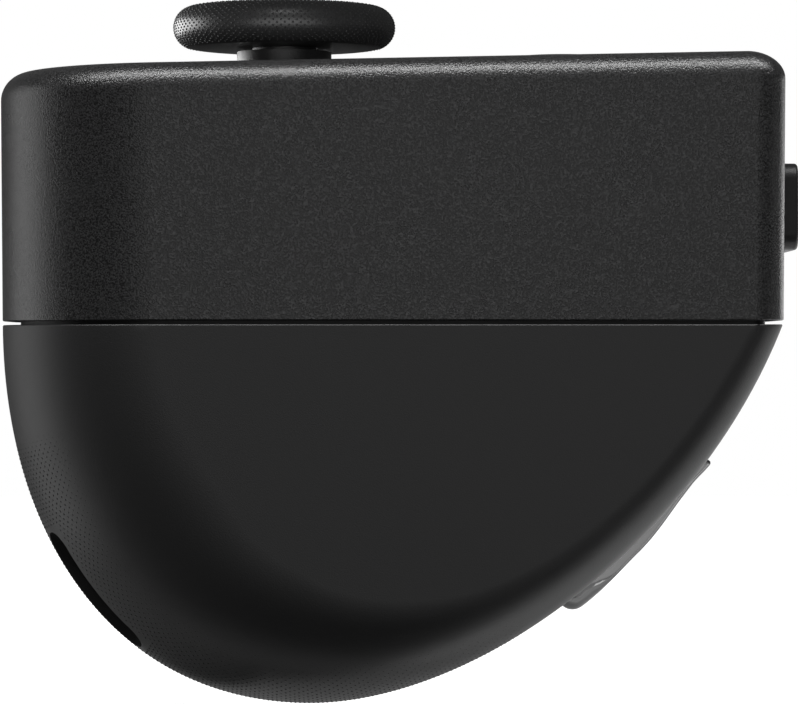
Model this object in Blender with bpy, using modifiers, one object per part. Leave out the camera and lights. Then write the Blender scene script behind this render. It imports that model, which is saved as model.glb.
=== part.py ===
"""One-hand motion controller: two moulded shells round a thumbstick, buttons and a trigger.

+X points to the front, +Y to the far side, +Z up. The origin lies on the seam between the shells,
midway along their length and width. All lengths are in metres.
"""

import math

import bmesh
import bpy
import numpy as np
from mathutils import Matrix, Vector

MM = 0.001

# Overall form of the shells
BODY_LENGTH = 61.8 * MM
BODY_WIDTH = 34.0 * MM
TOP_HEIGHT = 20.6 * MM
TOP_SLOPE = math.radians(1.08)
TOP_ROUND = 2.2 * MM
END_DRAFT = 0.14 * MM
REAR_CORNER = 13.0 * MM
FRONT_CORNER = 2.4 * MM
BELLY_DEPTH = 30.4 * MM
BELLY_LOW_X = -0.1084 * BODY_LENGTH
REAR_PULL = 18.0 * MM
HEEL_PULL = 15.0 * MM
CHIN_PULL = 13.6 * MM
FRONT_PULL = 17.7 * MM
FRONT_RAKE = math.radians(69.4)
HEEL_ROUND = 14.5 * MM
BELLY_ROUND = 11.0 * MM
CHIN_ROUND = 5.0 * MM

# Walls, the seam and running clearances
WALL = 2.2 * MM
SEAM_GAP = 0.3 * MM
LIP_INSET = 1.45 * MM
LIP_HEIGHT = 1.7 * MM
GAP = 0.3 * MM
PIN_GAP = 0.15 * MM

# Thumbstick
STICK_X = -0.1359 * BODY_LENGTH
BOWL_RADIUS = 13.4 * MM
BOWL_DEPTH = 4.0 * MM
BOWL_WALL = 1.8 * MM
BOWL_EDGE = 0.6 * MM
STICK_OPENING = 6.4 * MM
PIVOT_Z = 12.5 * MM
CAP_Z = 24.1 * MM
CAP_RADIUS = 9.0 * MM
CAP_RIM = 1.75 * MM
CAP_DISH = 0.7 * MM
NECK_RADIUS = 3.85 * MM
SPIGOT_RADIUS = 2.6 * MM
SPIGOT_HEIGHT = 1.5 * MM
DOME_WALL = 0.9 * MM
DOME_EDGE = math.radians(84)
STICK_TILT = math.radians(15)
SHAFT_RADIUS = 1.0 * MM
SHAFT_BELOW = 5.0 * MM
BARREL_RADIUS = 1.9 * MM
BARREL_HEIGHT = 2.4 * MM
RING_WALL = 0.95 * MM
RING_HEIGHT = 2.0 * MM
RING_PLAY = 0.7 * MM
GIMBAL_PIN = 0.5 * MM
PILLAR_THICK = 0.9 * MM
PILLAR_WIDTH = 2.4 * MM
BASE_SIDE = 15.0 * MM
BASE_THICK = 1.2 * MM
SENSOR_THICK = 1.8 * MM
SENSOR_WIDTH = 5.0 * MM
SENSOR_HEIGHT = 5.0 * MM
SPRING_WIRE = 0.4 * MM
SPRING_TURNS = 6
CLICK_SIDE = 4.2 * MM
CLICK_HEIGHT = 2.4 * MM

# Front button and its switch
FRONT_BUTTON_Z = 9.25 * MM
FRONT_BUTTON_HEIGHT = 6.9 * MM
FRONT_BUTTON_WIDTH = 18.0 * MM
FRONT_BUTTON_CORNER = 1.3 * MM
FRONT_BUTTON_EDGE = 0.25 * MM
FRONT_BUTTON_PROUD = 1.75 * MM
FRONT_FLANGE = 0.9 * MM
FRONT_FLANGE_THICK = 1.3 * MM
FRONT_TRAVEL = 0.6 * MM
FRONT_PLUNGER = 1.2 * MM
FRONT_SWITCH_DEPTH = 2.1 * MM
FRONT_SWITCH_SIDE = 6.0 * MM
FRONT_BOARD_WIDTH = 14.0 * MM

# Face buttons on the top
FACE_X = 0.2265 * BODY_LENGTH
FACE_Y = 6.6 * MM
FACE_RADIUS = 4.3 * MM
FACE_PROUD = 0.35 * MM
FACE_DISH = 0.35 * MM
FACE_EDGE = 0.35 * MM
MENU_X = 0.3786 * BODY_LENGTH
MENU_LENGTH = 7.0 * MM
MENU_WIDTH = 3.0 * MM
MENU_PROUD = 0.2 * MM
MENU_EDGE = 0.2 * MM
BUTTON_FLANGE = 0.8 * MM
FLANGE_THICK = 0.8 * MM
DOME_HEIGHT = 2.0 * MM
DOME_CROWN = 0.55
DOME_WAIST = 0.65
DOME_SKIRT = 0.3
FACE_DOME_RADIUS = 3.0 * MM
MENU_DOME_RADIUS = 2.0 * MM
LIGHT_X = 0.3074 * BODY_LENGTH
LIGHT_RADIUS = 0.8 * MM

# Trigger
TRIGGER_TOP_Z = -10.6 * MM
TRIGGER_LOW_Z = -22.2 * MM
TRIGGER_WIDTH = 20.0 * MM
TRIGGER_THICK = 3.6 * MM
TRIGGER_UPPER_LIP = 0.8 * MM
TRIGGER_NOTCH_RISE = 0.62 * MM
TRIGGER_MID_RISE = 1.1 * MM
TRIGGER_LOWER_LIP = 1.4 * MM
TRIGGER_TAIL_RISE = 1.25 * MM
TRIGGER_EDGE = 0.6 * MM
TRIGGER_PIN = 0.75 * MM
KNUCKLE_WALL = 1.3 * MM
KNUCKLE_IN = 1.9 * MM
TRIGGER_SWING = math.radians(10)
WINDOW_SPARE = math.radians(4)
EAR_THICK = 1.9 * MM
EAR_WALL = 1.75 * MM
TRIGGER_WIRE = 0.5 * MM
TRIGGER_SPRING_TURNS = 4
TRIGGER_SPRING_ROOM = 5.6 * MM
TRIGGER_SWITCH_THICK = 1.2 * MM
TRIGGER_SWITCH_WIDTH = 6.0 * MM
TRIGGER_SWITCH_HEIGHT = 3.4 * MM

# Strap pockets in the heel
POCKET_Z = -22.1 * MM
POCKET_Y = 6.3 * MM
POCKET_LENGTH = 11.6 * MM
POCKET_WIDTH = 5.5 * MM
POCKET_DEPTH = 4.6 * MM
POCKET_CORNER = 2.5 * MM
POCKET_WALL = 1.2 * MM
STRAP_PIN = 0.8 * MM
STRAP_PIN_SEAT = 0.9 * MM

# Boards and what they carry
BOARD_Z = 1.2 * MM
BOARD_THICK = 1.2 * MM
BOARD_MARGIN = 1.0 * MM
BUTTON_BOARD_THICK = 1.0 * MM
BUTTON_BOARD_REAR_GAP = 1.4 * MM
BUTTON_BOARD_FRONT_GAP = 2.3 * MM
BUTTON_BOARD_WIDTH = 25.0 * MM
SHIELD_LENGTH = 11.0 * MM
SHIELD_WIDTH = 15.0 * MM
SHIELD_HEIGHT = 1.9 * MM
SHIELD_X = 0.2346 * BODY_LENGTH
CHIP_SIDE = 8.0 * MM
CHIP_HEIGHT = 1.0 * MM
MOTION_CHIP_SIDE = 4.0 * MM
MOTION_CHIP_X = 0.0 * MM
PORT_WIDTH = 8.9 * MM
PORT_HEIGHT = 3.2 * MM
PORT_LENGTH = 7.4 * MM
PORT_WALL = 0.3 * MM
PORT_RECESS = 0.9 * MM
TONGUE_WIDTH = 6.6 * MM
TONGUE_THICK = 0.7 * MM
TONGUE_LENGTH = 4.6 * MM
PORT_FLOOR = 1.2 * MM

# Power and feedback
BATTERY_LENGTH = 17.0 * MM
BATTERY_WIDTH = 25.0 * MM
BATTERY_CLEAR = 1.4 * MM
BATTERY_TOP = -3.6 * MM
BATTERY_ROUND = 1.2 * MM
RIB_Y = 8.7 * MM
RIB_THICK = 1.4 * MM
RIB_LENGTH = 13.0 * MM
SOCKET_LENGTH = 4.0 * MM
SOCKET_WIDTH = 6.0 * MM
SOCKET_HEIGHT = 2.4 * MM
SOCKET_X = -0.3236 * BODY_LENGTH
LEAD_RADIUS = 0.7 * MM
LEAD_DROP = 3.0 * MM
MOTOR_RADIUS = 5.0 * MM
MOTOR_HEIGHT = 3.6 * MM
MOTOR_SEAT = 1.2 * MM
MOTOR_SEAT_RADIUS = 4.0 * MM

# Fasteners and posts
SCREW_X = 0.0744 * BODY_LENGTH
SCREW_Y = 5.0 * MM
SCREW_SHANK = 0.8 * MM
SCREW_HEAD = 1.6 * MM
SCREW_HEAD_THICK = 1.3 * MM
SCREW_HEAD_Z = -8.0 * MM
SCREW_BITE = 6.0 * MM
POST_WALL = 1.0 * MM
REST_X = -0.3236 * BODY_LENGTH
REST_Y = 9.5 * MM
REST_RADIUS = 1.8 * MM
SMALL_SHANK = 0.6 * MM
SMALL_HEAD = 1.3 * MM
SMALL_HEAD_THICK = 0.8 * MM
SMALL_BITE = 2.4 * MM
SMALL_EDGE = 2.0 * MM
TIP_SHARE = 0.7
CROWN_SHARE = 0.75
DRIVE_REACH = 0.6
DRIVE_SLIM = 0.16
DRIVE_DEPTH = 0.5

# Fineness of round work, and how far cutters run past what they cut
BELLY_STATIONS = 14
ROUND_STEPS = 6
TURN_STEPS = 28
SKIN_STEPS = 34
MIDDLE_STEPS = 20
SMALL_STEPS = 12
COIL_STEPS = 10
OVERRUN = 5.0 * MM
SHORT_OVERRUN = 0.5 * MM
LEAST_ROUND = 0.2 * MM
FULL_ROUND = 0.98

HALF_LENGTH = BODY_LENGTH / 2
HALF_WIDTH = BODY_WIDTH / 2
BOARD_TOP = BOARD_Z + BOARD_THICK
FRONT_WALL_INSIDE = HALF_LENGTH - WALL

for old in list(bpy.data.objects):
    bpy.data.objects.remove(old, do_unlink=True)

PARTS = bpy.data.collections.new("motion_controller")
CUTTERS = bpy.data.collections.new("cutters")
bpy.context.scene.collection.children.link(PARTS)
bpy.context.scene.collection.children.link(CUTTERS)


def top_z(x):
    """Height of the sloping top face above the seam at a place along the length."""
    return TOP_HEIGHT + x * math.tan(TOP_SLOPE)


# Building blocks


def as_part(obj, parent=None):
    """Puts an object among the parts, under the empty on its joint where it has one."""
    for collection in list(obj.users_collection):
        collection.objects.unlink(obj)
    PARTS.objects.link(obj)
    if parent is not None:
        obj.parent = parent
    return obj


def as_cutter(obj):
    """Puts an object among the cutters, which are no parts of the controller."""
    for collection in list(obj.users_collection):
        collection.objects.unlink(obj)
    CUTTERS.objects.link(obj)
    obj.hide_render = True
    obj.display_type = "WIRE"
    return obj


def joint_empty(name, location):
    """An empty on a joint's axis, which carries the pieces that move there."""
    empty = bpy.data.objects.new(name, None)
    empty.location = location
    empty.empty_display_size = 2 * MM
    PARTS.objects.link(empty)
    return empty


def from_bmesh(name, bm):
    """A linked mesh object with its faces turned outwards."""
    bm.normal_update()
    bmesh.ops.recalc_face_normals(bm, faces=bm.faces)
    mesh = bpy.data.meshes.new(name)
    bm.to_mesh(mesh)
    bm.free()
    obj = bpy.data.objects.new(name, mesh)
    PARTS.objects.link(obj)
    return obj


def block(name, low, high):
    """A box between two corners."""
    low = Vector(low)
    high = Vector(high)
    bm = bmesh.new()
    place = Matrix.Translation((low + high) / 2) @ Matrix.Diagonal((*(high - low), 1))
    bmesh.ops.create_cube(bm, size=1, matrix=place)
    return from_bmesh(name, bm)


def rod(name, start, end, radius, steps=SMALL_STEPS):
    """A cylinder between two points."""
    start = Vector(start)
    end = Vector(end)
    turn = (end - start).to_track_quat("Z", "Y").to_matrix().to_4x4()
    bm = bmesh.new()
    bmesh.ops.create_cone(
        bm, cap_ends=True, segments=steps, radius1=radius, radius2=radius,
        depth=(end - start).length, matrix=Matrix.Translation((start + end) / 2) @ turn,
    )
    return from_bmesh(name, bm)


def ellipsoid(name, centre, radius, height, steps):
    """A flattened ball with an upright axis."""
    bm = bmesh.new()
    place = Matrix.Translation(centre) @ Matrix.Diagonal((radius, radius, height, 1))
    bmesh.ops.create_uvsphere(bm, u_segments=steps, v_segments=steps // 2, radius=1, matrix=place)
    return from_bmesh(name, bm)


def turned(name, profile, location, steps=TURN_STEPS):
    """A shape turned about an upright axis from (radius, height) points that run down its outer side."""
    mesh = bpy.data.meshes.new(name)
    closed = profile[0][0] > 0
    edges = [(i, i + 1) for i in range(len(profile) - 1)]
    if closed:
        edges.append((len(profile) - 1, 0))
    mesh.from_pydata([(r, 0, z) for r, z in profile], edges, [])
    obj = bpy.data.objects.new(name, mesh)
    obj.location = location
    PARTS.objects.link(obj)
    screw = obj.modifiers.new("turn", "SCREW")
    screw.steps = steps
    screw.render_steps = steps
    screw.use_merge_vertices = True
    screw.merge_threshold = 0.00001
    screw.use_smooth_shade = True
    return obj


def plate(name, outline, thickness, place):
    """A flat outline of given thickness, about its own middle plane, put in place by a matrix."""
    curve = bpy.data.curves.new(name, "CURVE")
    curve.dimensions = "2D"
    curve.fill_mode = "BOTH"
    curve.extrude = thickness / 2
    spline = curve.splines.new("POLY")
    spline.points.add(len(outline) - 1)
    for point, (u, v) in zip(spline.points, outline):
        point.co = (u, v, 0, 1)
    spline.use_cyclic_u = True
    flat = bpy.data.objects.new(name, curve)
    PARTS.objects.link(flat)
    seen = flat.evaluated_get(bpy.context.evaluated_depsgraph_get())
    mesh = bpy.data.meshes.new_from_object(seen)
    bpy.data.objects.remove(flat, do_unlink=True)
    bm = bmesh.new()
    bm.from_mesh(mesh)
    bpy.data.meshes.remove(mesh)
    bmesh.ops.remove_doubles(bm, verts=bm.verts, dist=0.000001)
    bm.transform(place)
    return from_bmesh(name, bm)


def wire(name, points, radius):
    """A wire of round section along a run of points."""
    curve = bpy.data.curves.new(name, "CURVE")
    curve.dimensions = "3D"
    curve.bevel_depth = radius
    curve.bevel_resolution = 1
    curve.use_fill_caps = True
    spline = curve.splines.new("POLY")
    spline.points.add(len(points) - 1)
    for point, place in zip(spline.points, points):
        point.co = (*place, 1)
    obj = bpy.data.objects.new(name, curve)
    PARTS.objects.link(obj)
    return obj


def carve(target, *cutters):
    """Cuts pieces out of a target."""
    for cutter in cutters:
        boolean = target.modifiers.new(f"cut {cutter.name}", "BOOLEAN")
        boolean.operation = "DIFFERENCE"
        boolean.object = as_cutter(cutter)
    return target


def weld(target, *others):
    """Joins pieces to a target, so that they are one body."""
    for other in others:
        boolean = target.modifiers.new(f"join {other.name}", "BOOLEAN")
        boolean.operation = "UNION"
        boolean.object = as_cutter(other)
    return target


def soften(obj, width, segments=2, angle=math.radians(50)):
    """Rounds the edges of a piece."""
    bevel = obj.modifiers.new("round edges", "BEVEL")
    bevel.width = width
    bevel.segments = segments
    bevel.limit_method = "ANGLE"
    bevel.angle_limit = angle
    return obj


def finish(obj, colour, roughness, metallic=0.0):
    """Gives a piece a material of its own."""
    material = bpy.data.materials.new(obj.name)
    material.use_nodes = True
    shader = material.node_tree.nodes["Principled BSDF"]
    shader.inputs["Base Color"].default_value = (*colour, 1)
    shader.inputs["Roughness"].default_value = roughness
    shader.inputs["Metallic"].default_value = metallic
    obj.data.materials.clear()
    obj.data.materials.append(material)
    return obj


BLACK_PLASTIC = (0.012, 0.012, 0.013)
DARK_PLASTIC = (0.02, 0.02, 0.022)
RUBBER_BLACK = (0.014, 0.014, 0.015)
STEEL = (0.55, 0.55, 0.56)
BOARD_GREEN = (0.02, 0.09, 0.04)
CHIP_BLACK = (0.02, 0.02, 0.02)
PALE_RUBBER = (0.45, 0.45, 0.44)
CELL_GREY = (0.33, 0.34, 0.36)
LENS_WHITE = (0.8, 0.8, 0.78)


# Outlines shared by the shells and what fits them


def arc(cx, cy, radius, start, end, steps):
    """Points on an arc, angles in degrees."""
    angles = np.radians(np.linspace(start, end, steps + 1))
    return [(cx + radius * math.cos(a), cy + radius * math.sin(a)) for a in angles]


def plan_outline(inset, grow=0.0, rear_steps=8, front_steps=4):
    """The shells' outline seen from above, drawn in by an inset."""
    length = HALF_LENGTH + grow - inset
    width = HALF_WIDTH - inset
    rear = max(REAR_CORNER - inset, LEAST_ROUND)
    front = max(FRONT_CORNER - inset, LEAST_ROUND)
    return (
        arc(rear - length, rear - width, rear, 180, 270, rear_steps)
        + arc(length - front, front - width, front, 270, 360, front_steps)
        + arc(length - front, width - front, front, 0, 90, front_steps)
        + arc(rear - length, width - rear, rear, 90, 180, rear_steps)
    )


def rounded_rectangle(length, width, corner, steps=4):
    """A rectangle with round corners about its own middle."""
    u = length / 2 - corner
    v = width / 2 - corner
    return (
        arc(u, v, corner, 0, 90, steps) + arc(-u, v, corner, 90, 180, steps)
        + arc(-u, -v, corner, 180, 270, steps) + arc(u, -v, corner, 270, 360, steps)
    )


def bezier(a, b, c, d, t):
    """Point and direction on a cubic curve."""
    a, b, c, d = (np.array(p) for p in (a, b, c, d))
    s = 1 - t
    point = s**3 * a + 3 * s * s * t * b + 3 * s * t * t * c + t**3 * d
    along = s * s * (b - a) + 2 * s * t * (c - b) + t * t * (d - c)
    return point, along / np.linalg.norm(along)


def belly(t):
    """Point (x, z) and outward normal on the belly's outline: 0 rear seam, 1 lowest point, 2 front seam."""
    rear = (-HALF_LENGTH, 0)
    low = (BELLY_LOW_X, -BELLY_DEPTH)
    front = (HALF_LENGTH, 0)
    if t <= 1:
        heel = (BELLY_LOW_X - HEEL_PULL, -BELLY_DEPTH)
        point, along = bezier(rear, (-HALF_LENGTH, -REAR_PULL), heel, low, t)
    else:
        lean = (HALF_LENGTH - FRONT_PULL * math.cos(FRONT_RAKE), -FRONT_PULL * math.sin(FRONT_RAKE))
        point, along = bezier(low, (BELLY_LOW_X + CHIN_PULL, -BELLY_DEPTH), lean, front, t - 1)
    return point, np.array((along[1], -along[0]))


def belly_at(z, front):
    """Place on the belly's outline at a height, on its front or its rear run."""
    low, high = (1.0, 2.0) if front else (0.0, 1.0)
    for _ in range(40):
        middle = (low + high) / 2
        if (belly(middle)[0][1] < z) == front:
            low = middle
        else:
            high = middle
    return (low + high) / 2


def side_round(t):
    """Radius that rounds the belly into the flat sides, eased between its named stations."""
    stations = (0.0, 0.55, 1.0, 1.38, 2.0)
    radii = (REAR_CORNER, HEEL_ROUND, BELLY_ROUND, CHIN_ROUND, FRONT_CORNER)
    for i in range(len(stations) - 1):
        if t <= stations[i + 1]:
            share = (t - stations[i]) / (stations[i + 1] - stations[i])
            ease = (1 - math.cos(math.pi * share)) / 2
            return radii[i] + (radii[i + 1] - radii[i]) * ease
    return radii[-1]


def belly_body(name, inset):
    """The belly as a closed loft: its outline rounded into both sides by a changing radius."""
    half = HALF_WIDTH - inset
    places = [((-HALF_LENGTH, OVERRUN), (-1, 0), 0.0)]
    for t in np.linspace(0, 2, 2 * BELLY_STATIONS + 1):
        places.append((*belly(t), t))
    places.append(((HALF_LENGTH, OVERRUN), (1, 0), 2.0))
    bm = bmesh.new()
    rows = []
    for point, normal, t in places:
        radius = max(side_round(t) - inset, LEAST_ROUND)
        near = []
        for k in range(ROUND_STEPS + 1):
            angle = math.pi / 2 * k / ROUND_STEPS
            depth = inset + radius * (1 - math.sin(angle))
            y = half - radius + radius * math.cos(angle)
            near.append((point[0] - normal[0] * depth, -y, point[1] - normal[1] * depth))
        far = [(x, -y, z) for x, y, z in reversed(near)]
        rows.append([bm.verts.new(corner) for corner in near + far])
    for a, b in zip(rows, rows[1:]):
        for j in range(len(a) - 1):
            bm.faces.new((a[j], a[j + 1], b[j + 1], b[j]))
    bm.faces.new([row[0] for row in rows])
    bm.faces.new([row[-1] for row in rows])
    bm.faces.new(rows[0] + rows[-1][::-1])
    return from_bmesh(name, bm)


def top_body(name, inset, bottom, edge_round, steps):
    """The upper form as a closed loft: the plan outline drawn up to a sloping top with a round edge."""
    rings = [[(x, y, bottom) for x, y in plan_outline(inset)]]
    for k in range(steps + 1):
        angle = math.pi / 2 * k / steps
        drawn_in = edge_round * (1 - math.cos(angle))
        drop = inset + edge_round * (1 - math.sin(angle))
        ring = plan_outline(inset + drawn_in, END_DRAFT)
        rings.append([(x, y, top_z(x) - drop) for x, y in ring])
    bm = bmesh.new()
    rows = [[bm.verts.new(corner) for corner in ring] for ring in rings]
    count = len(rows[0])
    for a, b in zip(rows, rows[1:]):
        for j in range(count):
            k = (j + 1) % count
            bm.faces.new((a[j], a[k], b[k], b[j]))
    bm.faces.new(rows[0][::-1])
    bm.faces.new(rows[-1])
    return from_bmesh(name, bm)


def plan_prism(name, inset, low, high):
    """A straight-sided block with the shells' plan outline, drawn in by an inset."""
    return plate(name, plan_outline(inset), high - low, Matrix.Translation((0, 0, (low + high) / 2)))


# Places that several pieces share

FACE_FLANGE_Z = top_z(FACE_X) - WALL - GAP - FLANGE_THICK
BUTTON_BOARD_TOP = FACE_FLANGE_Z - 2 * GAP - DOME_HEIGHT
BUTTON_BOARD_LOW = BUTTON_BOARD_TOP - BUTTON_BOARD_THICK
WELL_RADIUS = SCREW_HEAD + GAP
POST_RADIUS = WELL_RADIUS + POST_WALL
UPPER_POST_RADIUS = POST_RADIUS - POST_WALL / 2
BUTTON_BOARD_REAR = SCREW_X + UPPER_POST_RADIUS + BUTTON_BOARD_REAR_GAP
BUTTON_BOARD_FRONT = FRONT_WALL_INSIDE - BUTTON_BOARD_FRONT_GAP
BUTTON_BOARD_X = (BUTTON_BOARD_REAR + BUTTON_BOARD_FRONT) / 2
SMALL_SCREWS = [
    (BUTTON_BOARD_REAR + SMALL_EDGE, 0),
    (BUTTON_BOARD_FRONT - SMALL_EDGE, -BUTTON_BOARD_WIDTH / 2 + SMALL_EDGE),
    (BUTTON_BOARD_FRONT - SMALL_EDGE, BUTTON_BOARD_WIDTH / 2 - SMALL_EDGE),
]
SHELL_SCREWS = [(SCREW_X, -SCREW_Y), (SCREW_X, SCREW_Y)]
PORT_Z = BOARD_TOP + GAP + PORT_HEIGHT / 2
PORT_MOUTH_X = -HALF_LENGTH + PORT_RECESS
BATTERY_FRONT = SCREW_X - POST_RADIUS - GAP
BATTERY_REAR = BATTERY_FRONT - BATTERY_LENGTH
MOTOR_X = BELLY_LOW_X
SMALL_POST = SMALL_SHANK + 2 * PIN_GAP + POST_WALL
MOTOR_LOW = -BELLY_DEPTH + WALL + MOTOR_SEAT
TRIGGER_SWITCH_Z = TRIGGER_LOW_Z + TRIGGER_SWITCH_HEIGHT
FRONT_SWITCH_FRONT = FRONT_WALL_INSIDE - GAP - FRONT_FLANGE_THICK - FRONT_TRAVEL - GAP

# Turns of a flat outline: into the side view, and to face along the length
SIDE_VIEW = Matrix(((1, 0, 0, 0), (0, 0, -1, 0), (0, 1, 0, 0), (0, 0, 0, 1)))
FACING_X = Matrix(((0, 0, 1, 0), (1, 0, 0, 0), (0, 1, 0, 0), (0, 0, 0, 1)))


def trigger_layout():
    """Pivot, outward normal and downward run of the trigger, and its two ends on the belly's outline."""
    start = belly_at(TRIGGER_TOP_Z, True)
    end = belly_at(TRIGGER_LOW_Z, True)
    top = belly(start)[0]
    low = belly(end)[0]
    run = (low - top) / np.linalg.norm(low - top)
    normal = np.array((-run[1], run[0]))
    pivot = top + KNUCKLE_IN * run - TRIGGER_THICK * normal
    return pivot, normal, run, start, end


TRIGGER_PIVOT, TRIGGER_NORMAL, TRIGGER_RUN, TRIGGER_START, TRIGGER_END = trigger_layout()
KNUCKLE_RADIUS = TRIGGER_PIN + PIN_GAP + KNUCKLE_WALL
EAR_NEAR = TRIGGER_WIDTH / 2 + GAP
EAR_FAR = EAR_NEAR + EAR_THICK


def pocket_layout():
    """Mouth centre, outward normal and run of the strap pockets on the heel, in the XZ plane."""
    point, normal = belly(belly_at(POCKET_Z, False))
    return point, normal, np.array((-normal[1], normal[0]))


POCKET_POINT, POCKET_NORMAL, POCKET_RUN = pocket_layout()


def pocket_matrix(y, depth):
    """Turns a flat outline into the pocket's mouth plane, at a depth under the surface."""
    centre = POCKET_POINT - POCKET_NORMAL * depth
    run = Vector((POCKET_RUN[0], 0, POCKET_RUN[1]))
    out = Vector((POCKET_NORMAL[0], 0, POCKET_NORMAL[1]))
    across = out.cross(run)
    turn = Matrix((run, across, out)).transposed().to_4x4()
    return Matrix.Translation((centre[0], y, centre[1])) @ turn


def rise(y):
    """How far the heel falls away from its middle line at a distance across."""
    radius = side_round(belly_at(POCKET_Z, False))
    reach = max(abs(y) - (HALF_WIDTH - radius), 0)
    return radius - math.sqrt(max(radius * radius - reach * reach, 0))


POCKET_FLOOR = rise(POCKET_Y) + POCKET_DEPTH
STRAP_PIN_DEPTH = rise(POCKET_Y) + POCKET_DEPTH / 2 + STRAP_PIN / 2


def battery_low():
    """The battery's underside, where its rear edge clears the lining of the strap pockets."""
    inside = POCKET_POINT - POCKET_NORMAL * (POCKET_FLOOR + POCKET_WALL + BATTERY_CLEAR)
    return inside[1] - (BATTERY_REAR - inside[0]) * POCKET_NORMAL[0] / POCKET_NORMAL[1]


BATTERY_LOW = battery_low()


# The shells


def button_windows():
    """Openings in the upper shell for the buttons and the light."""
    cutters = []
    for side in (-1, 1):
        middle = Vector((FACE_X, side * FACE_Y, 0))
        low = middle + Vector((0, 0, top_z(FACE_X) - WALL - OVERRUN / 2))
        high = middle + Vector((0, 0, top_z(FACE_X) + OVERRUN))
        cutters.append(rod(f"face_window_{side}", low, high, FACE_RADIUS + GAP, TURN_STEPS))
    wide = MENU_WIDTH + 2 * GAP
    slot = rounded_rectangle(wide, MENU_LENGTH + 2 * GAP, wide / 2 * FULL_ROUND)
    cutters.append(plate("menu_window", slot, 3 * WALL, Matrix.Translation((MENU_X, 0, top_z(MENU_X)))))
    light_low = (LIGHT_X, 0, top_z(LIGHT_X) - 2 * WALL)
    light_high = (LIGHT_X, 0, top_z(LIGHT_X) + WALL)
    cutters.append(rod("light_window", light_low, light_high, LIGHT_RADIUS + PIN_GAP))
    across = FRONT_BUTTON_WIDTH + 2 * GAP
    up = FRONT_BUTTON_HEIGHT + 2 * GAP
    front = rounded_rectangle(across, up, FRONT_BUTTON_CORNER + GAP)
    cutters.append(plate("front_window", front, 3 * WALL, front_matrix(HALF_LENGTH)))
    return cutters


def front_matrix(x):
    """Turns a flat outline (width, height) to face the front at a place along the length."""
    return Matrix.Translation((x, 0, FRONT_BUTTON_Z)) @ FACING_X


def stick_well(location):
    """The round-edged bowl under the stick's cap, with the opening for the neck through its floor."""
    edge = [(BOWL_RADIUS + BOWL_EDGE + u, v - BOWL_EDGE) for u, v in arc(0, 0, BOWL_EDGE, 90, 180, 4)]
    first = math.acos(STICK_OPENING / BOWL_RADIUS)
    least = math.asin(BOWL_EDGE / BOWL_DEPTH)
    bowl = [(BOWL_RADIUS * math.cos(a), -BOWL_DEPTH * math.sin(a)) for a in np.linspace(least, first, 8)]
    through = -BOWL_DEPTH - 2 * BOWL_WALL
    top = [(0, OVERRUN), (BOWL_RADIUS + BOWL_EDGE, OVERRUN)]
    return turned("stick_well", top + edge[:-1] + bowl + [(STICK_OPENING, through), (0, through)], location)


def make_upper_shell():
    shell = top_body("upper_shell", 0.0, SEAM_GAP / 2, TOP_ROUND, ROUND_STEPS)
    stick_top = (STICK_X, 0, top_z(STICK_X))
    carve(shell, stick_well(stick_top))
    carve(shell, *button_windows())
    hollow = top_body("upper_hollow", WALL, -OVERRUN, TOP_ROUND / 2, 2)
    skin_radius = BOWL_RADIUS + BOWL_WALL
    carve(hollow, ellipsoid("bowl_skin", stick_top, skin_radius, BOWL_DEPTH + BOWL_WALL, SKIN_STEPS))
    for i, (x, y) in enumerate(SHELL_SCREWS):
        low = (x, y, BOARD_TOP + GAP)
        carve(hollow, rod(f"upper_post_{i}", low, (x, y, TOP_HEIGHT), UPPER_POST_RADIUS))
    for i, (x, y) in enumerate(SMALL_SCREWS):
        low = (x, y, BUTTON_BOARD_TOP + GAP)
        carve(hollow, rod(f"small_post_{i}", low, (x, y, TOP_HEIGHT), SMALL_POST))
    carve(shell, hollow)
    carve(shell, plan_prism("lip_rebate", LIP_INSET - GAP, -OVERRUN, LIP_HEIGHT + GAP))
    for i, (x, y) in enumerate(SHELL_SCREWS):
        bore_top = BOARD_TOP + SCREW_BITE + 2 * GAP
        carve(shell, rod(f"upper_bore_{i}", (x, y, 0), (x, y, bore_top), SCREW_SHANK + PIN_GAP))
    for i, (x, y) in enumerate(SMALL_SCREWS):
        bore_top = BUTTON_BOARD_TOP + SMALL_BITE + 2 * GAP
        carve(shell, rod(f"small_bore_{i}", (x, y, 0), (x, y, bore_top), SMALL_SHANK + PIN_GAP))
    port_up = PORT_HEIGHT + 2 * GAP
    port = rounded_rectangle(PORT_WIDTH + 2 * GAP, port_up, port_up / 2 * FULL_ROUND)
    carve(shell, plate("port_window", port, 4 * WALL, port_matrix(-HALF_LENGTH)))
    return finish(as_part(shell), BLACK_PLASTIC, 0.62)


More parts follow.
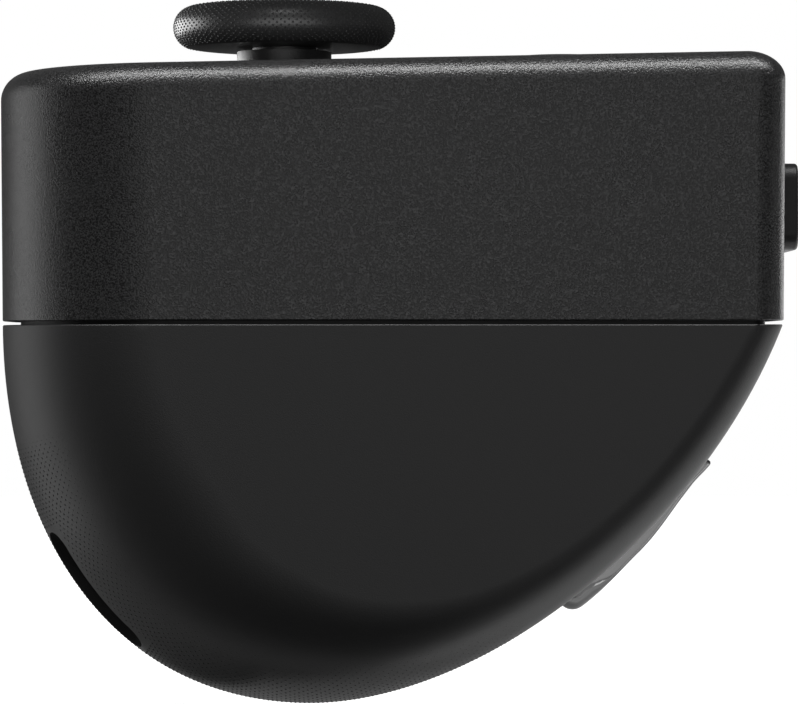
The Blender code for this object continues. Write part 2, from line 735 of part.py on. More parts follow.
def make_lower_shell():
    shell = belly_body("lower_shell", 0.0)
    reach = BODY_LENGTH + BODY_WIDTH
    carve(shell, block("above_seam", (-reach, -reach, -SEAM_GAP / 2), (reach, reach, reach)))
    weld(shell, plan_prism("lip", LIP_INSET, -WALL, LIP_HEIGHT))
    hollow = belly_body("lower_hollow", WALL)
    carve(hollow, block("above_hollow", (-reach, -reach, -WALL / 2), (reach, reach, reach)))
    for i, (x, y) in enumerate(SHELL_SCREWS):
        carve(hollow, rod(f"lower_post_{i}", (x, y, -BODY_LENGTH), (x, y, BOARD_Z - GAP), POST_RADIUS))
    for side in (-1, 1):
        along = POCKET_LENGTH + 2 * POCKET_WALL
        across = POCKET_WIDTH + 2 * POCKET_WALL
        lining = rounded_rectangle(along, across, POCKET_CORNER + POCKET_WALL)
        depth = POCKET_FLOOR + POCKET_WALL
        carve(hollow, plate(f"pocket_lining_{side}", lining, 2 * depth, pocket_matrix(side * POCKET_Y, 0)))
    for side in (-1, 1):
        y = side * REST_Y
        rest_top = (REST_X, y, BOARD_Z - GAP)
        carve(hollow, rod(f"board_rest_{side}", (REST_X, y, -BODY_LENGTH), rest_top, REST_RADIUS))
        rib_low = (BATTERY_FRONT - RIB_LENGTH, side * RIB_Y - RIB_THICK / 2, -BODY_LENGTH)
        rib_high = (BATTERY_FRONT, side * RIB_Y + RIB_THICK / 2, BATTERY_LOW - GAP)
        carve(hollow, block(f"battery_rib_{side}", rib_low, rib_high))
        ear = rod(f"trigger_ear_{side}", (TRIGGER_PIVOT[0], side * EAR_NEAR, TRIGGER_PIVOT[1]),
                  (TRIGGER_PIVOT[0], side * EAR_FAR, TRIGGER_PIVOT[1]), TRIGGER_PIN + PIN_GAP + EAR_WALL)
        carve(hollow, ear)
    carve(hollow, motor_seat(), switch_wall())
    carve(shell, hollow)
    carve(shell, plan_prism("lip_inside", WALL, -WALL / 2 - SHORT_OVERRUN, OVERRUN))
    restore_posts(shell)
    carve(shell, trigger_window())
    reach = EAR_FAR + SHORT_OVERRUN
    carve(shell, rod("trigger_bore", (TRIGGER_PIVOT[0], -reach, TRIGGER_PIVOT[1]),
                     (TRIGGER_PIVOT[0], reach, TRIGGER_PIVOT[1]), TRIGGER_PIN + PIN_GAP))
    for i, (x, y) in enumerate(SHELL_SCREWS):
        carve(shell, rod(f"well_{i}", (x, y, -BODY_LENGTH), (x, y, SCREW_HEAD_Z), WELL_RADIUS))
        carve(shell, rod(f"lower_bore_{i}", (x, y, -BODY_LENGTH), (x, y, OVERRUN), SCREW_SHANK + PIN_GAP))
    for side in (-1, 1):
        mouth = rounded_rectangle(POCKET_LENGTH, POCKET_WIDTH, POCKET_CORNER)
        carve(shell, plate(f"pocket_{side}", mouth, 2 * POCKET_FLOOR, pocket_matrix(side * POCKET_Y, 0)))
        carve(shell, strap_rod(f"strap_bore_{side}", side, STRAP_PIN + PIN_GAP, STRAP_PIN_SEAT + PIN_GAP))
    return finish(as_part(shell), BLACK_PLASTIC, 0.5)


def restore_posts(shell):
    """Carries the posts and rests on through the lip's hollow to the main board."""
    low = -WALL - 2 * SHORT_OVERRUN
    for i, (x, y) in enumerate(SHELL_SCREWS):
        weld(shell, rod(f"post_top_{i}", (x, y, low), (x, y, BOARD_Z - GAP), POST_RADIUS))
    for side in (-1, 1):
        y = side * REST_Y
        weld(shell, rod(f"rest_top_{side}", (REST_X, y, low), (REST_X, y, BOARD_Z - GAP), REST_RADIUS))


def motor_seat():
    """The round pad under the feedback motor."""
    return rod("motor_seat", (MOTOR_X, 0, -BODY_LENGTH), (MOTOR_X, 0, MOTOR_LOW - GAP), MOTOR_SEAT_RADIUS)


def switch_wall():
    """The upright wall between the screw posts that carries the trigger's switch."""
    return block("switch_wall", (SCREW_X, -SCREW_Y, -BODY_LENGTH),
                 (SCREW_X + POST_RADIUS, SCREW_Y, TRIGGER_SWITCH_Z + TRIGGER_SWITCH_HEIGHT))


def trigger_window():
    """The opening for the trigger, whose lower end leans out to follow the lip's swing."""
    top = belly(TRIGGER_START)[0]
    low = belly(TRIGGER_END)[0]
    inner = WALL + TRIGGER_THICK
    outer = OVERRUN
    lean = math.tan(TRIGGER_SWING + WINDOW_SPARE)
    corners = (
        top + TRIGGER_NORMAL * outer - TRIGGER_RUN * GAP,
        top - TRIGGER_NORMAL * inner - TRIGGER_RUN * GAP,
        low - TRIGGER_NORMAL * inner + TRIGGER_RUN * (GAP + lean * inner),
        low + TRIGGER_RUN * 2 * GAP,
        low + TRIGGER_NORMAL * outer + TRIGGER_RUN * 2 * GAP,
    )
    return plate("trigger_window", [tuple(c) for c in corners], TRIGGER_WIDTH + 2 * GAP, SIDE_VIEW)


def strap_rod(name, side, radius, seat):
    """A rod along the pocket, held at both ends in its walls."""
    centre = POCKET_POINT - POCKET_NORMAL * STRAP_PIN_DEPTH
    half = POCKET_RUN * (POCKET_LENGTH / 2 + seat)
    a = centre - half
    b = centre + half
    return rod(name, (a[0], side * POCKET_Y, a[1]), (b[0], side * POCKET_Y, b[1]), radius)


def port_matrix(x):
    """Turns a flat outline (width, height) to face along the length at the charging port."""
    return Matrix.Translation((x, 0, PORT_Z)) @ FACING_X


# The thumbstick


def dome_radius():
    """The dome under the bowl runs just clear of the lower edge of the stick's opening."""
    skin = BOWL_RADIUS + BOWL_WALL
    depth = (BOWL_DEPTH + BOWL_WALL) * math.sqrt(1 - (STICK_OPENING / skin) ** 2)
    edge = top_z(STICK_X) - depth - PIVOT_Z
    return math.hypot(STICK_OPENING, edge) - GAP


DOME_RADIUS = dome_radius()
RING_INNER = BARREL_RADIUS + RING_PLAY
RING_OUTER = RING_INNER + RING_WALL
PILLAR_IN = RING_OUTER + GAP
BASE_LOW = BOARD_TOP + GAP
BASE_TOP = BASE_LOW + BASE_THICK


def make_cap(axis):
    """The round-rimmed thumb cap, dished on top, with a socket for the post."""
    height = CAP_Z - PIVOT_Z
    rim = CAP_RADIUS - CAP_RIM
    socket = SPIGOT_RADIUS + PIN_GAP
    roof = -CAP_RIM + SPIGOT_HEIGHT + PIN_GAP
    dish = [(rim * s, CAP_RIM - CAP_DISH * (1 - s * s)) for s in np.linspace(0, 1, 6)]
    edge = [(rim + u, v) for u, v in arc(0, 0, CAP_RIM, 90, -90, 12)][1:]
    under = [(socket, -CAP_RIM), (socket, roof), (0, roof)]
    profile = [(r, height + z) for r, z in dish + edge + under]
    cap = turned("stick_cap", profile, (0, 0, 0))
    return finish(as_part(cap, axis), RUBBER_BLACK, 0.7)


def make_post(axis):
    """Neck, dome and shaft of the stick, one turned piece about the pivot."""
    top = CAP_Z - CAP_RIM - PIVOT_Z
    inner = DOME_RADIUS - DOME_WALL
    start = math.asin(NECK_RADIUS / DOME_RADIUS)
    inner_start = math.asin(SHAFT_RADIUS / inner)
    out_angles = np.linspace(start, DOME_EDGE, 7)
    in_angles = np.linspace(DOME_EDGE, inner_start, 6)
    outside = [(DOME_RADIUS * math.sin(a), DOME_RADIUS * math.cos(a)) for a in out_angles]
    inside = [(inner * math.sin(a), inner * math.cos(a)) for a in in_angles]
    spigot_top = top + SPIGOT_HEIGHT
    spigot = [(0, spigot_top), (SPIGOT_RADIUS, spigot_top), (SPIGOT_RADIUS, top - GAP)]
    shaft = [(SHAFT_RADIUS, -SHAFT_BELOW), (0, -SHAFT_BELOW)]
    profile = spigot + [(NECK_RADIUS, top - GAP)] + outside + inside + shaft
    return finish(as_part(turned("stick_post", profile, (0, 0, 0)), axis), DARK_PLASTIC, 0.45)


def make_pivot(axis):
    """The barrel that the shaft slides in, with a pin on each side along Y."""
    half = BARREL_HEIGHT / 2
    bore = SHAFT_RADIUS + PIN_GAP
    profile = [(bore, half), (BARREL_RADIUS, half), (BARREL_RADIUS, -half), (bore, -half)]
    barrel = turned("stick_pivot", profile, (0, 0, 0), SMALL_STEPS)
    reach = RING_OUTER - PIN_GAP
    for side in (-1, 1):
        start = Vector((0, side * (bore + BARREL_RADIUS) / 2, 0))
        pin = rod(f"barrel_pin_{side}", start, (0, side * reach, 0), GIMBAL_PIN)
        pin.parent = axis
        weld(barrel, pin)
    return finish(as_part(barrel, axis), STEEL, 0.35, 0.9)


def make_ring(axis):
    """The gimbal ring, which turns about X on its own pins and carries the barrel's pins."""
    half = RING_HEIGHT / 2
    profile = [(RING_INNER, half), (RING_OUTER, half), (RING_OUTER, -half), (RING_INNER, -half)]
    ring = turned("gimbal_ring", profile, (0, 0, 0), MIDDLE_STEPS)
    reach = PILLAR_IN + PILLAR_THICK - PIN_GAP
    for side in (-1, 1):
        start = (side * (RING_INNER + RING_WALL / 2), 0, 0)
        pin = rod(f"ring_pin_{side}", start, (side * reach, 0, 0), GIMBAL_PIN)
        pin.parent = axis
        weld(ring, pin)
    bore = rod("ring_bore", (0, -2 * RING_OUTER, 0), (0, 2 * RING_OUTER, 0), GIMBAL_PIN + PIN_GAP)
    bore.parent = axis
    carve(ring, bore)
    return finish(as_part(ring, axis), STEEL, 0.4, 0.9)


def make_base():
    """The stick's base plate with two pillars that carry the gimbal ring."""
    half = BASE_SIDE / 2
    base = block("stick_base", (STICK_X - half, -half, BASE_LOW), (STICK_X + half, half, BASE_TOP))
    for side in (-1, 1):
        inner = STICK_X + side * PILLAR_IN
        outer = STICK_X + side * (PILLAR_IN + PILLAR_THICK)
        low = (min(inner, outer), -PILLAR_WIDTH / 2, (BASE_LOW + BASE_TOP) / 2)
        high = (max(inner, outer), PILLAR_WIDTH / 2, PIVOT_Z + GIMBAL_PIN + PIN_GAP * 3)
        weld(base, block(f"pillar_{side}", low, high))
    reach = PILLAR_IN + 2 * PILLAR_THICK
    start = (STICK_X - reach, 0, PIVOT_Z)
    carve(base, rod("pillar_bore", start, (STICK_X + reach, 0, PIVOT_Z), GIMBAL_PIN + PIN_GAP))
    return finish(as_part(base), DARK_PLASTIC, 0.5)


def make_stick_electrics():
    """Tilt sensors, the press switch and the centring spring on the base plate."""
    low = BASE_TOP + GAP
    outer = BASE_SIDE / 2
    along_x = block("tilt_sensor_pitch", (STICK_X - SENSOR_WIDTH / 2, outer - SENSOR_THICK, low),
                    (STICK_X + SENSOR_WIDTH / 2, outer, low + SENSOR_HEIGHT))
    along_y = block("tilt_sensor_roll", (STICK_X + outer - SENSOR_THICK, -SENSOR_WIDTH / 2, low),
                    (STICK_X + outer, SENSOR_WIDTH / 2, low + SENSOR_HEIGHT))
    for sensor in (along_x, along_y):
        finish(as_part(sensor), CHIP_BLACK, 0.5)
    half = CLICK_SIDE / 2
    click = block("click_switch", (STICK_X - half, -half, low), (STICK_X + half, half, low + CLICK_HEIGHT))
    finish(as_part(click), CHIP_BLACK, 0.4)
    radius = PILLAR_IN - GAP - SPRING_WIRE / 2
    bottom = low + SPRING_WIRE / 2
    dip = RING_OUTER * math.sin(STICK_TILT) + RING_HEIGHT / 2
    top = PIVOT_Z - dip - 2 * GAP - SPRING_WIRE / 2
    points = []
    count = SPRING_TURNS * COIL_STEPS
    for k in range(count + 1):
        angle = 2 * math.pi * SPRING_TURNS * k / count
        height = bottom + (top - bottom) * k / count
        points.append((STICK_X + radius * math.cos(angle), radius * math.sin(angle), height))
    finish(as_part(wire("centering_spring", points, SPRING_WIRE / 2)), STEEL, 0.3, 1.0)


def make_stick():
    axis = joint_empty("stick_axis", (STICK_X, 0, PIVOT_Z))
    make_cap(axis)
    make_post(axis)
    make_pivot(axis)
    make_ring(axis)
    make_base()
    make_stick_electrics()


# Buttons


def make_front_button():
    """The flat button in the front wall: cap, inner flange and plunger."""
    flange_front = FRONT_WALL_INSIDE - GAP
    flange_back = flange_front - FRONT_FLANGE_THICK
    axis = joint_empty("front_button_axis", (flange_back, 0, FRONT_BUTTON_Z))
    face = HALF_LENGTH + FRONT_BUTTON_PROUD
    depth = face - (flange_front + flange_back) / 2
    outline = rounded_rectangle(FRONT_BUTTON_WIDTH, FRONT_BUTTON_HEIGHT, FRONT_BUTTON_CORNER)
    button = plate("front_button", outline, depth, front_matrix(face - depth / 2))
    soften(button, FRONT_BUTTON_EDGE)
    across = FRONT_BUTTON_WIDTH + 2 * FRONT_FLANGE
    wide = rounded_rectangle(across, FRONT_BUTTON_HEIGHT + 2 * FRONT_FLANGE, FRONT_BUTTON_CORNER)
    flange_place = front_matrix((flange_front + flange_back) / 2)
    weld(button, plate("front_flange", wide, FRONT_FLANGE_THICK, flange_place))
    tip = (FRONT_SWITCH_FRONT - FRONT_SWITCH_DEPTH / 2 + FRONT_TRAVEL / 2, 0, FRONT_BUTTON_Z)
    weld(button, rod("front_plunger", tip, (flange_front - GAP, 0, FRONT_BUTTON_Z), FRONT_PLUNGER))
    button.data.transform(Matrix.Translation(-axis.location))
    finish(as_part(button, axis), DARK_PLASTIC, 0.42)
    make_front_switch()


def make_front_switch():
    """The switch behind the front button, on its own upright board."""
    half = FRONT_SWITCH_SIDE / 2
    back = FRONT_SWITCH_FRONT - FRONT_SWITCH_DEPTH
    switch_top = FRONT_BUTTON_Z + half
    low = (back, -half, FRONT_BUTTON_Z - half)
    switch = block("front_switch", low, (FRONT_SWITCH_FRONT, half, switch_top))
    deep = FRONT_SWITCH_FRONT - FRONT_SWITCH_DEPTH / 2 - FRONT_TRAVEL / 2 - GAP
    mouth = (FRONT_WALL_INSIDE, 0, FRONT_BUTTON_Z)
    carve(switch, rod("switch_bore", (deep, 0, FRONT_BUTTON_Z), mouth, FRONT_PLUNGER + PIN_GAP))
    finish(as_part(switch), CHIP_BLACK, 0.4)
    front = back - GAP
    low = (front - BUTTON_BOARD_THICK, -FRONT_BOARD_WIDTH / 2, BOARD_TOP + GAP)
    board = block("front_switch_board", low, (front, FRONT_BOARD_WIDTH / 2, switch_top))
    finish(as_part(board), BOARD_GREEN, 0.5)


def make_face_button(name, side):
    """A round, slightly dished button with a flange under the top wall."""
    face = top_z(FACE_X) + FACE_PROUD
    under = FACE_FLANGE_Z
    axis = joint_empty(f"{name}_axis", (FACE_X, side * FACE_Y, under))
    rim = FACE_RADIUS - FACE_EDGE
    dish = [(rim * s, face - FACE_DISH * (1 - s * s)) for s in np.linspace(0, 1, 4)]
    round_edge = [(rim + u, face - FACE_EDGE + v) for u, v in arc(0, 0, FACE_EDGE, 90, 0, 3)][1:]
    flange = FACE_RADIUS + BUTTON_FLANGE
    shoulder = under + FLANGE_THICK
    foot = [(FACE_RADIUS, shoulder), (flange, shoulder), (flange, under), (0, under)]
    profile = [(r, z - under) for r, z in dish + round_edge + foot]
    finish(as_part(turned(name, profile, (0, 0, 0), MIDDLE_STEPS), axis), DARK_PLASTIC, 0.35)
    make_dome(f"{name}_dome", FACE_X, side * FACE_Y, FACE_DOME_RADIUS, under - GAP)


def make_dome(name, x, y, radius, top):
    """A rubber dome on the button board, under a button."""
    bottom = BUTTON_BOARD_TOP + GAP
    height = top - bottom
    skirt = height * DOME_SKIRT
    crown = [(0, height), (radius * DOME_CROWN, height), (radius * DOME_WAIST, skirt + GAP / 2)]
    profile = crown + [(radius, skirt), (radius, 0), (0, 0)]
    return finish(as_part(turned(name, profile, (x, y, bottom), SMALL_STEPS)), PALE_RUBBER, 0.7)


def make_menu_button():
    """The small long button ahead of the face buttons."""
    face = top_z(MENU_X) + MENU_PROUD
    under = FACE_FLANGE_Z
    axis = joint_empty("menu_button_axis", (MENU_X, 0, under))
    corner = MENU_WIDTH / 2 * FULL_ROUND
    upper = rounded_rectangle(MENU_WIDTH, MENU_LENGTH, corner)
    across = MENU_WIDTH + 2 * BUTTON_FLANGE
    wide = rounded_rectangle(across, MENU_LENGTH + 2 * BUTTON_FLANGE, corner + BUTTON_FLANGE)
    stem_low = FLANGE_THICK / 2
    stem_top = face - under
    stem_place = Matrix.Translation((0, 0, (stem_low + stem_top) / 2))
    button = plate("menu_button", upper, stem_top - stem_low, stem_place)
    soften(button, MENU_EDGE)
    flange = plate("menu_flange", wide, FLANGE_THICK, Matrix.Translation((0, 0, stem_low)))
    flange.parent = axis
    weld(button, flange)
    finish(as_part(button, axis), DARK_PLASTIC, 0.4)
    make_dome("menu_button_dome", MENU_X, 0, MENU_DOME_RADIUS, under - GAP)


def make_button_board():
    """The board under the buttons, its screws and the light pipe."""
    outline = rounded_rectangle(BUTTON_BOARD_FRONT - BUTTON_BOARD_REAR, BUTTON_BOARD_WIDTH, SMALL_EDGE)
    middle = (BUTTON_BOARD_LOW + BUTTON_BOARD_TOP) / 2
    place = Matrix.Translation((BUTTON_BOARD_X, 0, middle))
    board = plate("button_board", outline, BUTTON_BOARD_THICK, place)
    for i, (x, y) in enumerate(SMALL_SCREWS):
        low = (x, y, BUTTON_BOARD_LOW - WALL)
        carve(board, rod(f"board_hole_{i}", low, (x, y, BUTTON_BOARD_TOP + WALL), SMALL_SHANK + PIN_GAP))
        screw_z = BUTTON_BOARD_LOW - GAP
        bite = BUTTON_BOARD_TOP + SMALL_BITE - screw_z
        make_screw(f"board_screw_{i + 1}", (x, y, screw_z), SMALL_SHANK, SMALL_HEAD, SMALL_HEAD_THICK, bite)
    finish(as_part(board), BOARD_GREEN, 0.5)
    light_low = (LIGHT_X, 0, BUTTON_BOARD_TOP + GAP)
    light = rod("status_light", light_low, (LIGHT_X, 0, top_z(LIGHT_X)), LIGHT_RADIUS)
    finish(as_part(light), LENS_WHITE, 0.2)


def make_screw(name, location, shank, head, head_thick, bite):
    """A screw with its head below its origin and a cross-drive socket."""
    tip = [(0, bite), (shank * TIP_SHARE, bite), (shank, bite - shank), (shank, 0)]
    crown = [(head * CROWN_SHARE, -head_thick), (0, -head_thick)]
    profile = tip + [(head, 0), (head, -head_thick * CROWN_SHARE)] + crown
    screw = turned(name, profile, location, SMALL_STEPS)
    x, y, z = location
    arm = head * DRIVE_REACH
    slim = head * DRIVE_SLIM
    deep = z - head_thick * DRIVE_DEPTH
    low = z - 2 * head_thick
    carve(screw, block(f"{name}_slot_x", (x - arm, y - slim, low), (x + arm, y + slim, deep)),
          block(f"{name}_slot_y", (x - slim, y - arm, low), (x + slim, y + arm, deep)))
    return finish(as_part(screw), STEEL, 0.35, 1.0)


# The trigger


def trigger_rise(share):
    """How far the trigger's face stands out of the belly's outline, from its upper to its lower end."""
    stations = (0.0, 0.14, 0.55, 0.9, 1.0)
    rises = (TRIGGER_UPPER_LIP, TRIGGER_NOTCH_RISE, TRIGGER_MID_RISE, TRIGGER_LOWER_LIP, TRIGGER_TAIL_RISE)
    for i in range(len(stations) - 1):
        if share <= stations[i + 1]:
            part = (share - stations[i]) / (stations[i + 1] - stations[i])
            ease = (1 - math.cos(math.pi * part)) / 2
            return rises[i] + (rises[i + 1] - rises[i]) * ease
    return rises[-1]


def trigger_outline():
    """Side outline of the trigger: its face follows the belly, its back lies a set depth inside."""
    face = []
    back = []
    for share in np.linspace(0, 1, 13):
        point, normal = belly(TRIGGER_START + (TRIGGER_END - TRIGGER_START) * share)
        face.append(tuple(point + normal * trigger_rise(share)))
        back.append(tuple(point - normal * TRIGGER_THICK))
    return face + back[::-1]


def make_trigger():
    """The finger trigger with its knuckle on the hinge pin and a notch for the spring."""
    px, pz = TRIGGER_PIVOT
    axis = joint_empty("trigger_axis", (px, 0, pz))
    trigger = plate("trigger", trigger_outline(), TRIGGER_WIDTH, SIDE_VIEW)
    soften(trigger, TRIGGER_EDGE, 3, math.radians(40))
    half = TRIGGER_WIDTH / 2
    weld(trigger, rod("knuckle", (px, -half, pz), (px, half, pz), KNUCKLE_RADIUS, MIDDLE_STEPS))
    room = TRIGGER_SPRING_ROOM / 2
    room_radius = KNUCKLE_RADIUS + PIN_GAP
    carve(trigger, rod("spring_room", (px, -room, pz), (px, room, pz), room_radius, MIDDLE_STEPS))
    carve(trigger, rod("knuckle_bore", (px, -2 * half, pz), (px, 2 * half, pz), TRIGGER_PIN + PIN_GAP))
    trigger.data.transform(Matrix.Translation((-px, 0, -pz)))
    finish(as_part(trigger, axis), BLACK_PLASTIC, 0.18)
    pin = rod("trigger_pin", (px, -EAR_FAR, pz), (px, EAR_FAR, pz), TRIGGER_PIN)
    finish(as_part(pin), STEEL, 0.25, 1.0)
    make_trigger_spring(px, pz)
    make_trigger_switch()


def make_trigger_spring(px, pz):
    """The torsion spring, wound loosely on the hinge pin."""
    radius = TRIGGER_PIN + 2 * GAP + TRIGGER_WIRE / 2
    run = TRIGGER_SPRING_ROOM - 2 * GAP - TRIGGER_WIRE
    start = math.atan2(-TRIGGER_NORMAL[1], -TRIGGER_NORMAL[0])
    points = []
    count = TRIGGER_SPRING_TURNS * COIL_STEPS
    for k in range(count + 1):
        share = k / count
        angle = start + 2 * math.pi * TRIGGER_SPRING_TURNS * share
        points.append((px + radius * math.cos(angle), run * (share - 0.5), pz + radius * math.sin(angle)))
    finish(as_part(wire("trigger_spring", points, TRIGGER_WIRE / 2)), STEEL, 0.3, 1.0)


def make_trigger_switch():
    """The switch that the trigger reaches at the end of its pull."""
    x = SCREW_X + POST_RADIUS + GAP
    half = TRIGGER_SWITCH_WIDTH / 2
    switch = block("trigger_switch", (x, -half, TRIGGER_SWITCH_Z),
                   (x + TRIGGER_SWITCH_THICK, half, TRIGGER_SWITCH_Z + TRIGGER_SWITCH_HEIGHT))
    finish(as_part(switch), CHIP_BLACK, 0.4)


# Boards, power and feedback


def make_main_board():
    """The main board on its rests, with the shield, chips, battery socket and charging port."""
    board = plan_prism("main_board", WALL + BOARD_MARGIN, BOARD_Z, BOARD_TOP)
    for i, (x, y) in enumerate(SHELL_SCREWS):
        carve(board, rod(f"main_hole_{i}", (x, y, -OVERRUN), (x, y, OVERRUN), SCREW_SHANK + PIN_GAP))
    finish(as_part(board), BOARD_GREEN, 0.5)
    seat = BOARD_TOP + GAP
    shield = block("radio_shield", (SHIELD_X - SHIELD_LENGTH / 2, -SHIELD_WIDTH / 2, seat),
                   (SHIELD_X + SHIELD_LENGTH / 2, SHIELD_WIDTH / 2, seat + SHIELD_HEIGHT))
    finish(as_part(shield), STEEL, 0.3, 1.0)
    roof = BOARD_Z - GAP
    chip = block("processor_chip", (SHIELD_X - CHIP_SIDE / 2, -CHIP_SIDE / 2, roof - CHIP_HEIGHT),
                 (SHIELD_X + CHIP_SIDE / 2, CHIP_SIDE / 2, roof))
    finish(as_part(chip), CHIP_BLACK, 0.4)
    half = MOTION_CHIP_SIDE / 2
    motion = block("motion_sensor", (MOTION_CHIP_X - half, -half, roof - CHIP_HEIGHT),
                   (MOTION_CHIP_X + half, half, roof))
    finish(as_part(motion), CHIP_BLACK, 0.4)
    socket_low = (SOCKET_X - SOCKET_LENGTH / 2, -SOCKET_WIDTH / 2, roof - SOCKET_HEIGHT)
    socket = block("battery_socket", socket_low, (SOCKET_X + SOCKET_LENGTH / 2, SOCKET_WIDTH / 2, roof))
    finish(as_part(socket), LENS_WHITE, 0.5)
    make_port()


def make_port():
    """The charging port: a thin steel sleeve with a closed back, and its contact tongue."""
    corner = PORT_HEIGHT / 2 * FULL_ROUND
    inside_up = PORT_HEIGHT - 2 * PORT_WALL
    outer = rounded_rectangle(PORT_WIDTH, PORT_HEIGHT, corner, ROUND_STEPS)
    inner = rounded_rectangle(PORT_WIDTH - 2 * PORT_WALL, inside_up, corner - PORT_WALL, ROUND_STEPS)
    sleeve = plate("usb_port", outer, PORT_LENGTH, port_matrix(PORT_MOUTH_X + PORT_LENGTH / 2))
    room = PORT_LENGTH - PORT_FLOOR
    carve(sleeve, plate("port_room", inner, 2 * room, port_matrix(PORT_MOUTH_X)))
    finish(as_part(sleeve), STEEL, 0.3, 1.0)
    back = PORT_MOUTH_X + room - PIN_GAP
    tongue = block("usb_tongue", (back - TONGUE_LENGTH, -TONGUE_WIDTH / 2, PORT_Z - TONGUE_THICK / 2),
                   (back, TONGUE_WIDTH / 2, PORT_Z + TONGUE_THICK / 2))
    finish(as_part(tongue), CHIP_BLACK, 0.5)


def make_power():
    """The battery on its ribs, its lead, and the feedback motor on its seat."""
    half = BATTERY_WIDTH / 2
    battery = block("battery", (BATTERY_REAR, -half, BATTERY_LOW), (BATTERY_FRONT, half, BATTERY_TOP))
    soften(battery, BATTERY_ROUND)
    finish(as_part(battery), CELL_GREY, 0.4)
    roof = BOARD_Z - GAP - SOCKET_HEIGHT - GAP
    drop = BATTERY_TOP - LEAD_DROP
    start = BATTERY_REAR - GAP
    points = []
    for share in np.linspace(0, 1, 9):
        angle = math.pi / 2 * share
        x = start + (SOCKET_X - start) * math.sin(angle)
        points.append((x, 0, drop + (roof - drop) * (1 - math.cos(angle))))
    finish(as_part(wire("battery_lead", points, LEAD_RADIUS)), RUBBER_BLACK, 0.6)
    motor_top = (MOTOR_X, 0, MOTOR_LOW + MOTOR_HEIGHT)
    motor = rod("haptic_motor", (MOTOR_X, 0, MOTOR_LOW), motor_top, MOTOR_RADIUS, MIDDLE_STEPS)
    finish(as_part(motor), STEEL, 0.35, 1.0)


def make_fasteners():
    """The two long screws that draw the shells and the main board together, and the strap pins."""
    for i, (x, y) in enumerate(SHELL_SCREWS):
        seat = SCREW_HEAD_Z - GAP
        bite = BOARD_TOP + SCREW_BITE - seat
        make_screw(f"shell_screw_{i + 1}", (x, y, seat), SCREW_SHANK, SCREW_HEAD, SCREW_HEAD_THICK, bite)
    for name, side in (("strap_pin_near", -1), ("strap_pin_far", 1)):
        finish(as_part(strap_rod(name, side, STRAP_PIN, STRAP_PIN_SEAT)), STEEL, 0.3, 1.0)


def main():
    make_upper_shell()
    make_lower_shell()
    make_stick()
    make_front_button()
    make_face_button("face_button_near", -1)
    make_face_button("face_button_far", 1)
    make_menu_button()
    make_button_board()
    make_trigger()
    make_main_board()
    make_power()
    make_fasteners()


main()
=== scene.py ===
"""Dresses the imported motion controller: finished shells, stick, buttons, trigger and fittings, on a stage."""

from math import acos, asin, copysign, cos, hypot, pi, radians, sin, sqrt, tan

import bmesh
import bpy
import numpy as np
from bpy.props import FloatProperty, FloatVectorProperty, IntProperty, PointerProperty
from mathutils import Matrix, Vector


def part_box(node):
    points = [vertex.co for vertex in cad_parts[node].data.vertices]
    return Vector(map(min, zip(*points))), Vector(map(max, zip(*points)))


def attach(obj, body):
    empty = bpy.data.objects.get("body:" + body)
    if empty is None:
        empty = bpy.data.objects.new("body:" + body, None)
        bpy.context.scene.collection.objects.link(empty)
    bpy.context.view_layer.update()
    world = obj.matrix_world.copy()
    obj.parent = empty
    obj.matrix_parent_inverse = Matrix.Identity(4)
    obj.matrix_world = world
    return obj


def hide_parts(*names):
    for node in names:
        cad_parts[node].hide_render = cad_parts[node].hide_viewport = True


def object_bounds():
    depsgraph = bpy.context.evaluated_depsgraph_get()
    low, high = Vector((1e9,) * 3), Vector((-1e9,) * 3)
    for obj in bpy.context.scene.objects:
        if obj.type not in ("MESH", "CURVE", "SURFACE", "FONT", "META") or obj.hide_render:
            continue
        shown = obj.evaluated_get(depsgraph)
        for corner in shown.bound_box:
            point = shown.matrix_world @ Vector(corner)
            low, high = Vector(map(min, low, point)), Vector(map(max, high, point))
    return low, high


bl_info = {
    "name": "Motion controller",
    "version": (1, 0, 0),
    "blender": (4, 5, 0),
    "location": "View3D > Sidebar > Controller",
    "description": "Builds the visible pieces of a one-hand motion controller round its packed solids",
    "category": "Object",
}

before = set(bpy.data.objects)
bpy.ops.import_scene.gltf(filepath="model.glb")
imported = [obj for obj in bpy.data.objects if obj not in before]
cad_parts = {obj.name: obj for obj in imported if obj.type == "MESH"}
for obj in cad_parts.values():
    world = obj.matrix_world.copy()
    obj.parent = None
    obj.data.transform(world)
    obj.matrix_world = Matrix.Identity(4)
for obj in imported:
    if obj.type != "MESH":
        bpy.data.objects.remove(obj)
CAD_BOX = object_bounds()
MM = 0.001
SHELL_LOW, SHELL_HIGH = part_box("lower_shell")
CAP_LOW, CAP_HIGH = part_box("stick_cap")
FACE_LOW, FACE_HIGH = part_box("face_button_near")
MENU_LOW, MENU_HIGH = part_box("menu_button")
LIGHT_LOW, LIGHT_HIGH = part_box("status_light")
PORT_LOW, PORT_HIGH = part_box("usb_port")
TONGUE_LOW, TONGUE_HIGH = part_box("usb_tongue")
SCREW_LOW, SCREW_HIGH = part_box("shell_screw_1")
KEY_LOW, KEY_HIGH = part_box("front_button")


# Settings that a user would change


def length(name, text, metres):
    return FloatProperty(name=name, description=text, default=metres, unit="LENGTH", precision=5)


def mm(name, text, value):
    return length(name, text, value * MM)


def angle(name, text, degrees):
    return FloatProperty(name=name, description=text, default=radians(degrees), subtype="ANGLE")


def amount(name, text, value):
    return FloatProperty(name=name, description=text, default=value, min=0)


def colour(name, text, value):
    limits = {"size": 3, "min": 0, "max": 1}
    return FloatVectorProperty(name=name, description=text, default=value, subtype="COLOR", **limits)


